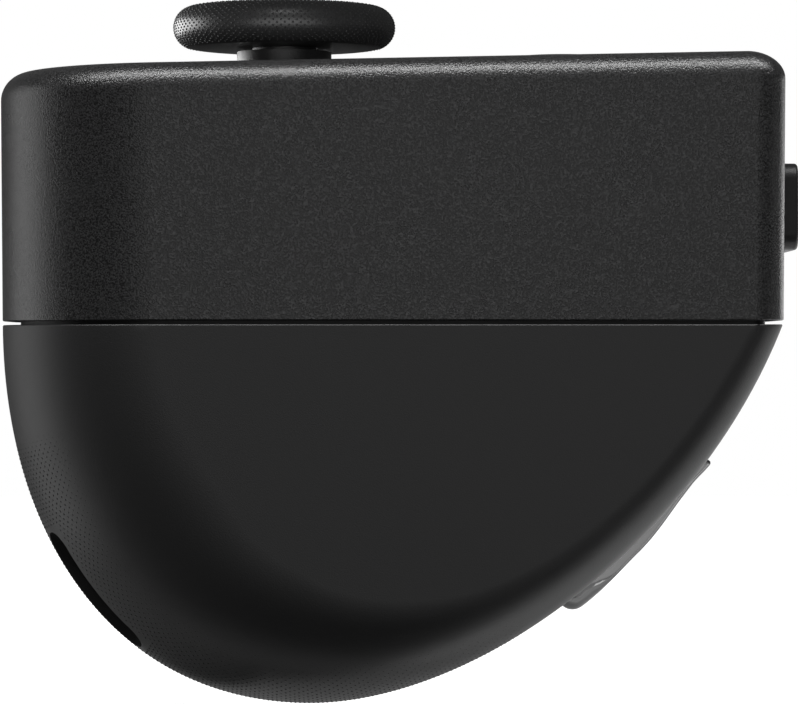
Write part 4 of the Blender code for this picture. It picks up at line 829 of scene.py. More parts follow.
def stick_well():
    """The round-edged bowl under the cap with the hole for the neck."""
    s = settings().stick
    mouth = s.bowl_radius + s.bowl_edge
    edge = [(mouth + u, v - s.bowl_edge) for u, v in arc(0, 0, s.bowl_edge, 90, 180, 8)]
    first = acos(s.opening / s.bowl_radius)
    least = asin(s.bowl_edge / s.bowl_depth)
    turn = np.linspace(least, first, 20)
    bowl = [(s.bowl_radius * cos(a), -s.bowl_depth * sin(a)) for a in turn]
    through = -s.bowl_depth - 2 * s.bowl_wall
    profile = [(0, OVER), (mouth, OVER), *edge[:-1], *bowl, (s.opening, through), (0, through)]
    return turned("well", profile, (s.place, 0, top_z(s.place)))


class CONTROLLER_OT_upper_shell(ControllerOperator, bpy.types.Operator):
    """Makes the grained upper shell with its bowl and windows"""

    bl_idname = "controller.upper_shell"
    bl_label = "Upper shell"

    def execute(self, context):
        s = settings().shell
        bottom = s.seam_gap / 2
        ease_run = 8 * MM
        rows = [[(x, y, bottom) for x, y in plan_outline(0)]]
        for k in range(EDGE_STEPS + 1):
            a = pi / 2 * k / EDGE_STEPS
            drop = s.top_round * (1 - sin(a))
            back = s.front_ease * (1 - cos(a))
            ring = plan_outline(s.top_round * (1 - cos(a)), s.end_draft)
            ring = [(x - back * eased((x - s.body_length / 2) / ease_run + 1), y) for x, y in ring]
            rows.append([(x, y, top_z(x) - drop) for x, y in ring])
        shell = round_level_edge(loft("upper_shell_skin", rows), bottom, s.seam_edge)
        carve(shell, stick_well())
        for window in self.windows(s):
            carve(shell, window)
        carve(shell, self.hollow(s))
        carve(shell, prism("rebate", plan_outline(s.lip_inset - s.gap), 2 * (s.lip_height + s.gap), Matrix()))
        finished(smooth(shell), "grained_black", "body", "upper_shell", "upper_shell")
        return {"FINISHED"}

    def windows(self, s):
        """Cutters for the buttons, the light and the charging port, one after the other."""
        b = settings().buttons

        def hole(name, x, y, radius, steps):
            return rod(name, (x, y, top_z(x) - 2 * s.wall), (x, y, top_z(x) + s.wall), radius, steps)

        def window(name, outline, place):
            return prism(name, outline, 4 * s.wall, place)

        for side in (-1, 1):
            yield hole("face_window", b.face_place, side * b.face_apart, b.face_radius + s.gap, KEY_STEPS)
        menu = stadium(b.menu_width + 2 * s.gap, b.menu_length + 2 * s.gap)
        yield window("menu_window", menu, at(b.menu_place, 0, top_z(b.menu_place)))
        yield hole("light_hole", b.light_place, 0, b.light_radius + s.gap / 2, SMALL_STEPS)
        front = rounded_rectangle(b.front_width, b.front_height, b.front_corner, s.gap)
        yield window("front_window", front, facing_x(s.body_length / 2, b.front_z))
        port = stadium(PORT_HIGH[1] - PORT_LOW[1] + 2 * s.gap, PORT_HIGH[2] - PORT_LOW[2] + 2 * s.gap)
        yield window("port_window", port, facing_x(-s.body_length / 2, (PORT_LOW[2] + PORT_HIGH[2]) / 2))

    def hollow(self, s):
        """The room inside, which leaves a skin under the bowl."""
        stick = settings().stick
        half_round = s.wall + s.top_round / 2
        rows = [[(x, y, -s.wall) for x, y in plan_outline(s.wall)]]
        for inset, drop in ((s.wall, half_round), (half_round, s.wall)):
            rows.append([(x, y, top_z(x) - drop) for x, y in plan_outline(inset, s.end_draft)])
        radius = stick.bowl_radius + stick.bowl_wall
        depth = stick.bowl_depth + stick.bowl_wall
        rim = 3 * MM
        quarter = np.linspace(0, pi / 2, 24)[:-1]
        under = [(radius * cos(a), -depth * sin(a)) for a in quarter]
        profile = [(0, rim), (radius, rim), *under, (0, -depth)]
        skin = turned("bowl_skin", profile, (stick.place, 0, top_z(stick.place)), SKIN_STEPS)
        return carve(loft("hollow", rows), skin)


def pocket_layout():
    """Mouth centre, outward normal and run of the strap pockets, and how deep they and their pins lie."""
    h = settings().heel
    t = belly_at(h.pocket_z, False)
    point, normal = belly(t)
    radius = side_round(t)
    reach = max(h.pocket_y - (settings().shell.body_width / 2 - radius), 0)
    fall = radius - sqrt(radius * radius - reach * reach)
    run = np.array((-normal[1], normal[0]))
    return point, normal, run, fall + h.pocket_depth, fall + h.pocket_depth / 2 + h.pin_radius / 2


def pocket_matrix(y):
    point, normal, run, _, _ = pocket_layout()
    along = Vector((run[0], 0, run[1]))
    out = Vector((normal[0], 0, normal[1]))
    turn = Matrix((along, out.cross(along), out)).transposed().to_4x4()
    return at(point[0], y, point[1]) @ turn


# How far the trigger's pivot lies below its upper end, and the lean of the window's low end
PIVOT_DOWN = 1.9 * MM
WINDOW_LEAN = radians(14)


def trigger_layout():
    """Ends of the trigger on the belly's outline, its outward normal, its run and its pivot."""
    g = settings().trigger
    start = belly_at(g.top_z, True)
    end = belly_at(g.low_z, True)
    top = belly(start)[0]
    low = belly(end)[0]
    run = (low - top) / np.linalg.norm(low - top)
    normal = np.array((-run[1], run[0]))
    pivot = top + PIVOT_DOWN * run - g.thick * normal
    return start, end, normal, run, pivot


SIDE_VIEW = Matrix(((1, 0, 0, 0), (0, 0, -1, 0), (0, 1, 0, 0), (0, 0, 0, 1)))


def trigger_window():
    s = settings().shell
    g = settings().trigger
    start, end, normal, run, _ = trigger_layout()
    top = belly(start)[0]
    low = belly(end)[0]
    inner = s.wall + g.thick
    corners = (
        top + normal * OVER - run * s.gap,
        top - normal * inner - run * s.gap,
        low - normal * inner + run * (s.gap + tan(WINDOW_LEAN) * inner),
        low + run * 2 * s.gap,
        low + normal * OVER + run * 2 * s.gap,
    )
    return prism("trigger_window", [tuple(c) for c in corners], g.width + 2 * s.gap, SIDE_VIEW)


def screw_places():
    x = (SCREW_LOW[0] + SCREW_HIGH[0]) / 2
    y = (SCREW_LOW[1] + SCREW_HIGH[1]) / 2
    return [(x, y), (x, -y)]


class CONTROLLER_OT_lower_shell(ControllerOperator, bpy.types.Operator):
    """Makes the belly with its lip, trigger window, strap pockets and screw wells"""

    bl_idname = "controller.lower_shell"
    bl_label = "Lower shell"

    # Top of a screw's well over the screw's lowest point
    well_roof = 1.6 * MM

    def execute(self, context):
        s = settings().shell
        h = settings().heel
        top = -s.seam_gap / 2
        lip_rise = (s.lip_height - s.wall) / 2
        shell = round_level_edge(belly_body("lower_shell_skin", 0, top), top, s.seam_edge)
        weld(shell, prism("lip", plan_outline(s.lip_inset), s.wall + s.lip_height, at(0, 0, lip_rise)))
        hollow = belly_body("hollow", s.wall, -s.wall / 2)
        floor = pocket_layout()[3]
        mouth = (h.pocket_length, h.pocket_width, h.pocket_corner)
        sides = [pocket_matrix(side * h.pocket_y) for side in (-1, 1)]
        lining = rounded_rectangle(*mouth, h.pocket_wall)
        for place in sides:
            carve(hollow, prism("lining", lining, 2 * (floor + h.pocket_wall), place))
        for x, y in screw_places():
            carve(hollow, rod("post", (x, y, -BIG), (x, y, BIG), h.well_radius + h.post_wall))
        carve(shell, hollow)
        self.open_lip(shell, s)
        for x, y in screw_places():
            carve(shell, rod("well", (x, y, -BIG), (x, y, SCREW_LOW[2] + self.well_roof), h.well_radius))
        carve(shell, trigger_window())
        for place in sides:
            carve(shell, prism("pocket", rounded_rectangle(*mouth), 2 * floor, place))
        self.mark_pockets(smooth(shell))
        finished(shell, "satin_black", "body", "lower_shell", "lower_shell")
        return {"FINISHED"}

    def open_lip(self, shell, s):
        """Opens the lip from below the seam to over its top."""
        below = s.wall / 2 + 0.5 * MM
        high = 4 * MM
        middle = 2.2 * MM
        carve(shell, prism("lip_inside", plan_outline(s.wall), 2 * below, Matrix()))
        carve(shell, prism("lip_top", plan_outline(s.wall), high, at(0, 0, middle)))

    def mark_pockets(self, shell):
        """Marks the faces inside the strap pockets, which are matt."""
        h = settings().heel
        point, normal, run, _, _ = pocket_layout()
        slack = 0.01 * MM
        deep_inside = 2 * MM
        steep = 0.4
        marks = []
        for face in shell.data.polygons:
            x, y, z = face.center
            along = abs((x - point[0]) * run[0] + (z - point[1]) * run[1])
            out = face.normal.x * normal[0] + face.normal.z * normal[1]
            deep = (point[0] - x) * normal[0] + (point[1] - z) * normal[1]
            across = abs(abs(y) - h.pocket_y)
            inside = along < h.pocket_length / 2 + slack and across < h.pocket_width / 2 + slack
            marks.append(float(inside and (out < steep or deep > deep_inside)))
        shell.data.attributes.new("recess", "FLOAT", "FACE").data.foreach_set("value", marks)


# Geometry Nodes


def dots_tree():
    """Sets a small flattened ball on each point, turned along the point's own direction."""
    name = "raised_dots"
    if name in bpy.data.node_groups:
        return bpy.data.node_groups[name]
    sizes = (("Radius", "Float"), ("Height", "Float"), ("Fineness", "Int"))
    inputs = (("Points", "Geometry"), *sizes, ("Finish", "Material"))
    tree, given, put = node_group(name, "GeometryNodeTree", inputs, (("Dots", "Geometry"),))
    ball = add(tree, "GeometryNodeMeshIcoSphere", {"Radius": 1.0})
    size = add(tree, "ShaderNodeCombineXYZ")
    scale = add(tree, "ShaderNodeVectorMath", operation="SCALE")
    fade, out = (
        add(tree, "GeometryNodeInputNamedAttribute", {"Name": label}, data_type=kind)
        for label, kind in (("fade", "FLOAT"), ("out", "FLOAT_VECTOR"))
    )
    turn = add(tree, "FunctionNodeAlignRotationToVector", axis="Z")
    copies = add(tree, "GeometryNodeInstanceOnPoints")
    real = add(tree, "GeometryNodeRealizeInstances")
    soft = add(tree, "GeometryNodeSetShadeSmooth")
    paint = add(tree, "GeometryNodeSetMaterial")
    wire(
        tree,
        (given, "Fineness", ball, "Subdivisions"),
        (given, "Radius", size, "X"),
        (given, "Radius", size, "Y"),
        (given, "Height", size, "Z"),
        (size, "Vector", scale, 0),
        (fade, "Attribute", scale, "Scale"),
        (out, "Attribute", turn, "Vector"),
        (given, "Points", copies, "Points"),
        (ball, "Mesh", copies, "Instance"),
        (turn, "Rotation", copies, "Rotation"),
        (scale, "Vector", copies, "Scale"),
        (given, "Finish", paint, "Material"),
    )
    chain(tree, copies, real, soft, paint, put)
    return tree


def copies_tree():
    """Sets a copy of one object on each point."""
    name = "set_of_copies"
    if name in bpy.data.node_groups:
        return bpy.data.node_groups[name]
    inputs = (("Points", "Geometry"), ("Pattern", "Object"), ("Finish", "Material"))
    tree, given, put = node_group(name, "GeometryNodeTree", inputs, (("Copies", "Geometry"),))
    pattern = add(tree, "GeometryNodeObjectInfo")
    copies = add(tree, "GeometryNodeInstanceOnPoints")
    real = add(tree, "GeometryNodeRealizeInstances")
    paint = add(tree, "GeometryNodeSetMaterial")
    wire(
        tree,
        (given, "Pattern", pattern, "Object"),
        (given, "Points", copies, "Points"),
        (pattern, "Geometry", copies, "Instance"),
        (given, "Finish", paint, "Material"),
    )
    chain(tree, copies, real, paint, put)
    return tree


def grow(name, points, tree, values, attributes=None):
    """Runs a node tree on a set of points and keeps the result as a plain mesh."""
    mesh = bpy.data.meshes.new(name)
    mesh.from_pydata(points, [], [])
    for label, (kind, field, data) in (attributes or {}).items():
        attribute = mesh.attributes.new(label, kind, "POINT")
        attribute.data.foreach_set(field, np.array(data, np.float32).ravel())
    obj = linked(name, mesh)
    modifier = obj.modifiers.new("nodes", "NODES")
    modifier.node_group = tree
    for item in tree.interface.items_tree:
        if item.item_type == "SOCKET" and item.in_out == "INPUT" and item.name in values:
            modifier[item.identifier] = values[item.name]
    return settle(obj)


def dots(name, points, normals, fades, height, look):
    g = settings().grip
    values = {"Radius": g.radius, "Height": height, "Fineness": g.sides, "Finish": finish(look)}
    attributes = {"out": ("FLOAT_VECTOR", "vector", normals), "fade": ("FLOAT", "value", fades)}
    return grow(name, points, dots_tree(), values, attributes)


def copies(name, places, pattern, look):
    """Copies of one object, which is then removed."""
    made = grow(name, places, copies_tree(), {"Pattern": pattern, "Finish": finish(look)})
    bpy.data.objects.remove(pattern, do_unlink=True)
    return made


def clear_of_openings(x, y, z, margin):
    """Whether a place on the belly lies clear of the pockets and the screw wells."""
    h = settings().heel
    for sx, sy in screw_places():
        if hypot(x - sx, y - sy) < h.well_radius + margin:
            return False
    point, normal, run, _, _ = pocket_layout()
    along = (x - point[0]) * run[0] + (z - point[1]) * run[1]
    across = abs(abs(y) - h.pocket_y)
    return not (abs(along) < h.pocket_length / 2 + margin and across < h.pocket_width / 2 + margin)


class CONTROLLER_OT_belly_dots(ControllerOperator, bpy.types.Operator):
    """Sets the grip dots on the round of the heel and the underside"""

    bl_idname = "controller.belly_dots"
    bl_label = "Belly dots"

    # Where the field starts on the heel and ends on the outline, its margin round openings, and the widths
    # over which dots shrink to their least share at its ends and sides
    first_z = -9.5 * MM
    last = 1.42
    margin = 0.35 * MM
    end_fade = 2.5 * MM
    side_fade = 6 * MM
    least = 0.3

    def execute(self, context):
        s = settings().shell
        grip = settings().grip
        pitch = grip.belly_pitch / sqrt(2)
        runs = np.linspace(belly_at(self.first_z, False), self.last, 1200)
        outline = [belly(t)[0] for t in runs]
        steps = [np.linalg.norm(b - a) for a, b in zip(outline, outline[1:])]
        lengths = np.concatenate(([0], np.cumsum(steps)))
        points, normals, fades = [], [], []
        for i in range(int(lengths[-1] / pitch)):
            t = float(np.interp(i * pitch, lengths, runs))
            point, normal = belly(t)
            radius = side_round(t)
            flat = s.body_width / 2 - radius
            limit = flat + radius * grip.spread
            for j in range(-int(limit / pitch), int(limit / pitch) + 1):
                if (i + j) % 2:
                    continue
                w = j * pitch
                over = max(abs(w) - flat, 0) / radius
                side = copysign(1, w)
                depth = radius * (1 - cos(over))
                x, z = point - normal * depth
                y = side * (min(abs(w), flat) + radius * sin(over))
                if not clear_of_openings(x, y, z, self.margin):
                    continue
                ends = min(i * pitch, lengths[-1] - i * pitch) / self.end_fade
                sides = (limit - abs(w)) / self.side_fade
                out_x, out_z = normal * cos(over)
                points.append((x, y, z))
                normals.append((out_x, side * sin(over), out_z))
                fades.append(min(1.0, self.least + ends, self.least + sides))
        piece = dots("belly_grip_dots", points, normals, fades, grip.belly_height, "satin_black")
        finished(piece, "satin_black", "body", "lower_shell")
        return {"FINISHED"}


class CONTROLLER_OT_stick(ControllerOperator, bpy.types.Operator):
    """Makes the thumb cap with its dots, and the neck, dome and shaft below it"""

    bl_idname = "controller.stick"
    bl_label = "Thumbstick"

    # How far the dome reaches round its middle and the dots round the cap's rim, and what divides a ring's dots
    dome_reach = radians(84)
    dots_reach = radians(160)
    fold = 6

    def execute(self, context):
        s = settings().stick
        rim = s.cap_radius - s.cap_rim
        socket = s.spigot_radius + PLAY
        roof = s.spigot_height + PLAY - s.cap_rim
        dish = [(rim * k, s.cap_rim - s.cap_dish * (1 - k * k)) for k in np.linspace(0, 1, 16)]
        edge = [(rim + u, v) for u, v in arc(0, 0, s.cap_rim, 90, -90, 36)][1:]
        under = [(socket, -s.cap_rim), (socket, roof), (0, roof)]
        cap = turned("thumb_cap", dish + edge + under, (s.place, 0, s.cap_z))
        finished(smooth(cap), "thumb_rubber_black", "stick", "thumb_rubber", "stick_cap")
        self.cap_dots(s, rim)

        def ball(radius, start, end, steps):
            return [(radius * sin(a), radius * cos(a)) for a in np.linspace(start, end, steps)]

        top = s.cap_z - s.cap_rim - s.pivot_z
        inner = s.dome_radius - s.dome_wall
        outside = ball(s.dome_radius, asin(s.neck_radius / s.dome_radius), self.dome_reach, 28)
        inside = ball(inner, self.dome_reach, asin(s.shaft_radius / inner), 20)
        crest = top + s.spigot_height
        ledge = top - settings().shell.gap
        spigot = [(0, crest), (s.spigot_radius, crest), (s.spigot_radius, ledge), (s.neck_radius, ledge)]
        shaft = [(s.shaft_radius, -s.shaft_below), (0, -s.shaft_below)]
        column = turned("stick_column", spigot + outside + inside + shaft, (s.place, 0, s.pivot_z))
        finished(smooth(column), "key_black", "stick", "stick_plastic", "stick_post")
        return {"FINISHED"}

    def cap_dots(self, s, rim):
        """Rings of dots over the dish and round the rim, every other one set half a step on."""
        grip = settings().grip
        step = grip.cap_rows
        rows = []
        for i in range(1, int(rim / step) + 1):
            r = i * step
            slope = 2 * s.cap_dish * r / rim**2
            rows.append((r, s.cap_rim - s.cap_dish * (1 - (r / rim) ** 2), -slope, 1.0))
        for i in range(int(self.dots_reach * s.cap_rim / step) + 1):
            a = i * step / s.cap_rim
            rows.append((rim + s.cap_rim * sin(a), s.cap_rim * cos(a), sin(a), cos(a)))
        points, normals = [], []
        for i, (r, h, out, up) in enumerate(rows):
            count = self.fold * max(round(2 * pi * r / grip.cap_pitch / self.fold), 1)
            for k in range(count):
                a = 2 * pi * (k + 0.5 * (i % 2)) / count
                points.append((s.place + r * cos(a), r * sin(a), s.cap_z + h))
                normals.append((out * cos(a), out * sin(a), up))
        fades = [1.0] * len(points)
        piece = dots("thumb_cap_dots", points, normals, fades, grip.height, "thumb_rubber_black")
        finished(piece, "thumb_rubber_black", "stick", "thumb_rubber")


class CONTROLLER_OT_front_button(ControllerOperator, bpy.types.Operator):
    """Makes the flat front button with its flange and plunger"""

    bl_idname = "controller.front_button"
    bl_label = "Front button"

    def execute(self, context):
        s = settings().shell
        b = settings().buttons
        z = b.front_z
        thick, overlap, plunger = 1.3 * MM, 0.3 * MM, 1.2 * MM
        inside = s.body_length / 2 - s.wall - s.gap
        depth = s.wall + s.gap + b.front_proud

        def outline_at(inset):
            return rounded_rectangle(b.front_width, b.front_height, b.front_corner, -inset)

        key = rounded_prism("front_key", outline_at, 0, depth, b.front_edge, facing_x(inside, z), 6)
        flange = rounded_rectangle(KEY_HIGH[1] - KEY_LOW[1], KEY_HIGH[2] - KEY_LOW[2], b.front_corner)
        weld(key, prism("flange", flange, thick, facing_x(inside - thick / 2, z)))
        weld(key, rod("plunger", (KEY_LOW[0], 0, z), (inside - overlap, 0, z), plunger))
        finished(smooth(key), "key_black", "front_button", "button_plastic", "front_button")
        return {"FINISHED"}


class CONTROLLER_OT_top_buttons(ControllerOperator, bpy.types.Operator):
    """Makes the two face buttons, the menu button and the light in the top"""

    bl_idname = "controller.top_buttons"
    bl_label = "Top buttons"

    # Thickness of the flanges
    thick = 0.8 * MM

    def execute(self, context):
        b = settings().buttons
        for node, side in (("face_button_near", -1), ("face_button_far", 1)):
            low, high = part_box(node)
            rim = b.face_radius - b.face_edge
            dish = [(rim * k, high[2] - b.face_dish * (1 - k * k)) for k in np.linspace(0, 1, 12)]
            edge = [(rim + u, high[2] - b.face_edge + v) for u, v in arc(0, 0, b.face_edge, 90, 0, 8)][1:]
            shoulder = low[2] + self.thick
            wide = b.face_radius + b.flange
            foot = [(b.face_radius, shoulder), (wide, shoulder), (wide, low[2]), (0, low[2])]
            place = (b.face_place, side * b.face_apart, 0)
            key = turned(node.replace("button", "key"), dish + edge + foot, place, KEY_STEPS)
            finished(smooth(key), "key_black", node, "button_plastic", node)
        self.menu(b)
        ends = [(b.light_place, 0, corner[2]) for corner in (LIGHT_LOW, LIGHT_HIGH)]
        light = rod("light_pipe", *ends, b.light_radius, edge=SMALL_EDGE)
        finished(smooth(light), "milky_lens", "body", "light_lens", "status_light")
        return {"FINISHED"}

    def menu(self, b):
        bottom = MENU_LOW[2] + self.thick / 2

        def outline_at(inset):
            return stadium(b.menu_width - 2 * inset, b.menu_length - 2 * inset)

        place = at(b.menu_place, 0, 0)
        key = rounded_prism("menu_key", outline_at, bottom, MENU_HIGH[2], b.menu_edge, place)
        weld(key, prism("flange", outline_at(-b.flange), self.thick, at(b.menu_place, 0, bottom)))
        finished(smooth(key), "key_black", "menu_button", "button_plastic", "menu_button")


class CONTROLLER_OT_domes(ControllerOperator, bpy.types.Operator):
    """Makes the silicone domes, each a skirt on the board and a crown that moves with its button"""

    bl_idname = "controller.domes"
    bl_label = "Domes"

    def execute(self, context):
        d = settings().domes
        for button in ("face_button_near", "face_button_far", "menu_button"):
            node = button + "_dome"
            low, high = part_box(node)
            r = (high[0] - low[0]) / 2
            place = ((low[0] + high[0]) / 2, (low[1] + high[1]) / 2, low[2])
            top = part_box(button)[0][2] - low[2]
            hole = (d.hole * r, d.film), (d.hole * r, d.lip)
            side = (d.shoulder * r, d.lip), (r, d.foot), (r, 0)
            waist = (d.crown * r, top), (d.waist * r, d.lip), (d.waist * r, d.drop)
            skirt = turned(node + "_skirt", [(0, d.film), *hole, *side, (0, 0)], place, FITTING_STEPS)
            finished(smooth(skirt), "pale_silicone", "body", "dome_rubber", node)
            crown = turned(node + "_crown", [(0, top), *waist, (0, d.drop)], place, FITTING_STEPS)
            finished(smooth(crown), "pale_silicone", button, "dome_rubber")
        return {"FINISHED"}


def trigger_rise(share):
    """How far the middle of the trigger's face stands out of the belly's outline along its run."""
    g = settings().trigger
    rises = (g.upper_lip, g.notch_rise, g.mid_rise, g.lower_lip, g.tail_rise)
    for low, high, a, b in zip(RISE_STATIONS, RISE_STATIONS[1:], rises, rises[1:]):
        if share <= high:
            part = (share - low) / (high - low)
            return a + (b - a) * (1 - cos(pi * part)) / 2
    return rises[-1]


class CONTROLLER_OT_trigger(ControllerOperator, bpy.types.Operator):
    """Makes the polished trigger with its crowned face and its knuckle"""

    bl_idname = "controller.trigger"
    bl_label = "Trigger"

    # Length of the run as a share of its height, round of the low end, and half the room for the spring
    run_share = 1.4
    tail = 1.1 * MM
    spring_room = 2.8 * MM

    # Where along the run the sides swell into the bulb and come out of the waist, and over what length
    bulb_start, bulb_run = 0.68, 0.2
    waist_end, waist_run = 0.76, 0.05

    def execute(self, context):
        g = settings().trigger
        start, end, _, _, (px, pz) = trigger_layout()
        across = [(share, 0.0) for share in np.linspace(0, 1, 10)[:-1]]
        across += [(1.0, turn) for turn in np.linspace(0, pi / 2, 9)]
        across = [(-share, turn) for share, turn in reversed(across[1:])] + across
        trigger = loft("finger_trigger", [self.profile(g, start, end, *where) for where in across])

        def axle(name, half, radius):
            return rod(name, (px, -half, pz), (px, half, pz), radius)

        weld(trigger, axle("knuckle", g.width / 2 - g.edge, g.knuckle))
        carve(trigger, axle("spring_room", self.spring_room, g.knuckle + PLAY))
        carve(trigger, axle("bore", g.width, g.pin))
        finished(smooth(trigger), "polished_black", "trigger", "trigger_gloss", "trigger")
        return {"FINISHED"}

    def profile(self, g, start, end, out, turn):
        """The trigger's outline at a share of its half width and a turn of its round side."""
        run = (g.top_z - g.low_z) * self.run_share
        edge, tail = g.edge / run, self.tail / run
        drawn = 1 - cos(turn)
        first = g.edge * drawn / run
        last = 1 - g.bulb * drawn / run
        points = []
        for a in np.linspace(0, pi / 2, 7):
            points.append((first + edge * (1 - cos(a)), g.edge * (1 - sin(a))))
        points += [(share, 0.0) for share in np.linspace(first + edge, last - tail, 70)[1:-1]]
        for a in np.linspace(pi / 2, 0, 9):
            points.append((last - tail * (1 - cos(a)), self.tail * (1 - sin(a))))
        points += [(share, None) for share in np.linspace(last, first, 22)]
        ring = []
        for share, fall in points:
            edge = g.edge + (g.bulb - g.edge) * eased((share - self.bulb_start) / self.bulb_run)
            waist = g.waist * (1 - eased((share - self.waist_end) / self.waist_run))
            flat = g.width / 2 - waist - edge
            y = flat * out + copysign(edge * sin(turn), out)
            crown = g.crown * (2 * y / g.width) ** 2
            rise = edge * drawn - g.thick
            if fall is not None:
                rise = trigger_rise(share) - crown - edge * drawn - fall
            point, normal = belly(start + (end - start) * share)
            x, z = point + normal * rise
            ring.append((x, y, z))
        return ring


class CONTROLLER_OT_strap_bars(ControllerOperator, bpy.types.Operator):
    """Makes the steel bars in the strap pockets"""

    bl_idname = "controller.strap_bars"
    bl_label = "Strap bars"

    def execute(self, context):
        h = settings().heel
        point, normal, run, _, depth = pocket_layout()
        centre = point - normal * depth
        half = run * (h.pocket_length / 2 + h.pin_seat)
        for node, side in (("strap_pin_near", -1), ("strap_pin_far", 1)):
            ends = [(x, side * h.pin_y, z) for x, z in (centre - half, centre + half)]
            bar = rod(node.replace("pin", "bar"), *ends, h.pin_radius, edge=SMALL_EDGE)
            finished(smooth(bar), "plain_steel", "body", "steel", node)
        return {"FINISHED"}


class CONTROLLER_OT_port(ControllerOperator, bpy.types.Operator):
    """Makes the charging port's sleeve, its tongue and the contacts on it"""

    bl_idname = "controller.port"
    bl_label = "Charging port"

    # Walls of the sleeve, corner of the tongue, and the contacts' half sizes, pitch, row and number
    wall, back_wall = 0.3 * MM, 1.2 * MM
    corner, least_corner = 0.2 * MM, 0.1 * MM
    strip = (1.2 * MM, 0.13 * MM, 0.02 * MM)
    pitch, row, count = 0.5 * MM, 2.0 * MM, 12

    def execute(self, context):
        deep, wide, up = (high - low for low, high in zip(PORT_LOW, PORT_HIGH))
        z = (PORT_LOW[2] + PORT_HIGH[2]) / 2
        sleeve = prism("port_sleeve", stadium(wide, up), deep, facing_x(PORT_LOW[0] + deep / 2, z))
        room = rounded_rectangle(wide, up, up * ROUND_END, -self.wall)
        carve(sleeve, prism("room", room, 2 * (deep - self.back_wall), facing_x(PORT_LOW[0], z)))
        finished(smooth(sleeve), "plain_steel", "body", "steel", "usb_port")
        t_deep, t_wide, t_up = (high - low for low, high in zip(TONGUE_LOW, TONGUE_HIGH))

        def outline_at(inset):
            corner = self.corner - min(inset, self.least_corner)
            return rounded_rectangle(t_wide - 2 * inset, t_up - 2 * inset, corner, steps=4)

        place = facing_x(TONGUE_HIGH[0], z) @ Matrix.Rotation(pi, 4, "Y")
        tongue = rounded_prism("port_tongue", outline_at, 0, t_deep, SMALL_EDGE, place, 4)
        finished(smooth(tongue), "chip_black", "body", "chip", "usb_tongue")
        strip = block("strip", [-half for half in self.strip], self.strip)
        rows = [z + side * t_up / 2 for side in (-1, 1)]
        across = [(k - (self.count - 1) / 2) * self.pitch for k in range(self.count)]
        places = [(TONGUE_LOW[0] + self.row, y, height) for height in rows for y in across]
        finished(copies("port_contacts", places, strip, "plated_contacts"), "plated_contacts", "body", "steel")
        return {"FINISHED"}


class CONTROLLER_OT_screws(ControllerOperator, bpy.types.Operator):
    """Sets the two case screws in their wells"""

    bl_idname = "controller.screws"
    bl_label = "Case screws"

    # Height of the head, radius of the shank, round of the head and share of the shank at its tip
    head, shank, crown, tip = 1.3 * MM, 0.8 * MM, 0.5 * MM, 0.6

    # Half length and half width of the cross slot as shares of the head's radius, and its depth of its height
    arm, slim, deep = 0.62, 0.15, 0.5

    def execute(self, context):
        top = SCREW_HIGH[2] - SCREW_LOW[2]
        radius = (SCREW_HIGH[0] - SCREW_LOW[0]) / 2
        head, shank, crown = self.head, self.shank, self.crown
        edge = [(radius - crown + u, crown + v) for u, v in arc(0, 0, crown, 0, -90, 6)]
        stem = [(0, top), (shank * self.tip, top), (shank, top - shank), (shank, head), (radius, head)]
        screw = turned("screw", [*stem, *edge, (0, 0)], (0, 0, 0), FITTING_STEPS)
        arm, slim, deep = radius * self.arm, radius * self.slim, head * self.deep
        sizes = ((arm, slim), (slim, arm))
        carve(screw, *(block("slot", (-u, -v, -head), (u, v, deep)) for u, v in sizes))
        places = [(x, y, SCREW_LOW[2]) for x, y in screw_places()]
        screws = copies("case_screws", places, smooth(screw), "plain_steel")
        finished(screws, "plain_steel", "body", "steel", "shell_screw_1", "shell_screw_2")
        return {"FINISHED"}


class CONTROLLER_OT_inside(ControllerOperator, bpy.types.Operator):
    """Gives the boards, battery and other pieces inside their finishes"""

    bl_idname = "controller.inside"
    bl_label = "Inside"

    looks = {
        "solder_mask": "main_board button_board front_switch_board",
        "chip_black": "processor_chip motion_sensor click_switch front_switch trigger_switch "
                      "tilt_sensor_pitch tilt_sensor_roll",
        "natural_nylon": "battery_socket",
        "pouch_foil": "battery",
        "lead_sleeve": "battery_lead",
        "key_black": "stick_base",
        "plain_steel": "stick_pivot gimbal_ring centering_spring trigger_spring trigger_pin haptic_motor "
                       "radio_shield board_screw_1 board_screw_2 board_screw_3",
    }

    def execute(self, context):
        for look, nodes in self.looks.items():
            for node in nodes.split():
                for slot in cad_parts[node].material_slots:
                    slot.material = finish(look)
        return {"FINISHED"}


# The stage


def lamp(name, place, brightness, across, along):
    """A soft lamp that looks at the object, with the same brightness at any size."""
    data = bpy.data.lights.new(name, "AREA")
    data.shape = "RECTANGLE"
    data.size = across
    data.size_y = along
    data.energy = brightness * pi * across * along
    obj = linked(name, data)
    obj.location = place
    obj.rotation_euler = (-Vector(place)).to_track_quat("-Z", "Y").to_euler()
    return obj


STICK_PIECES = ("thumb_cap", "thumb_cap_dots", "stick_column")
TRIGGER_PIECES = ("finger_trigger",)

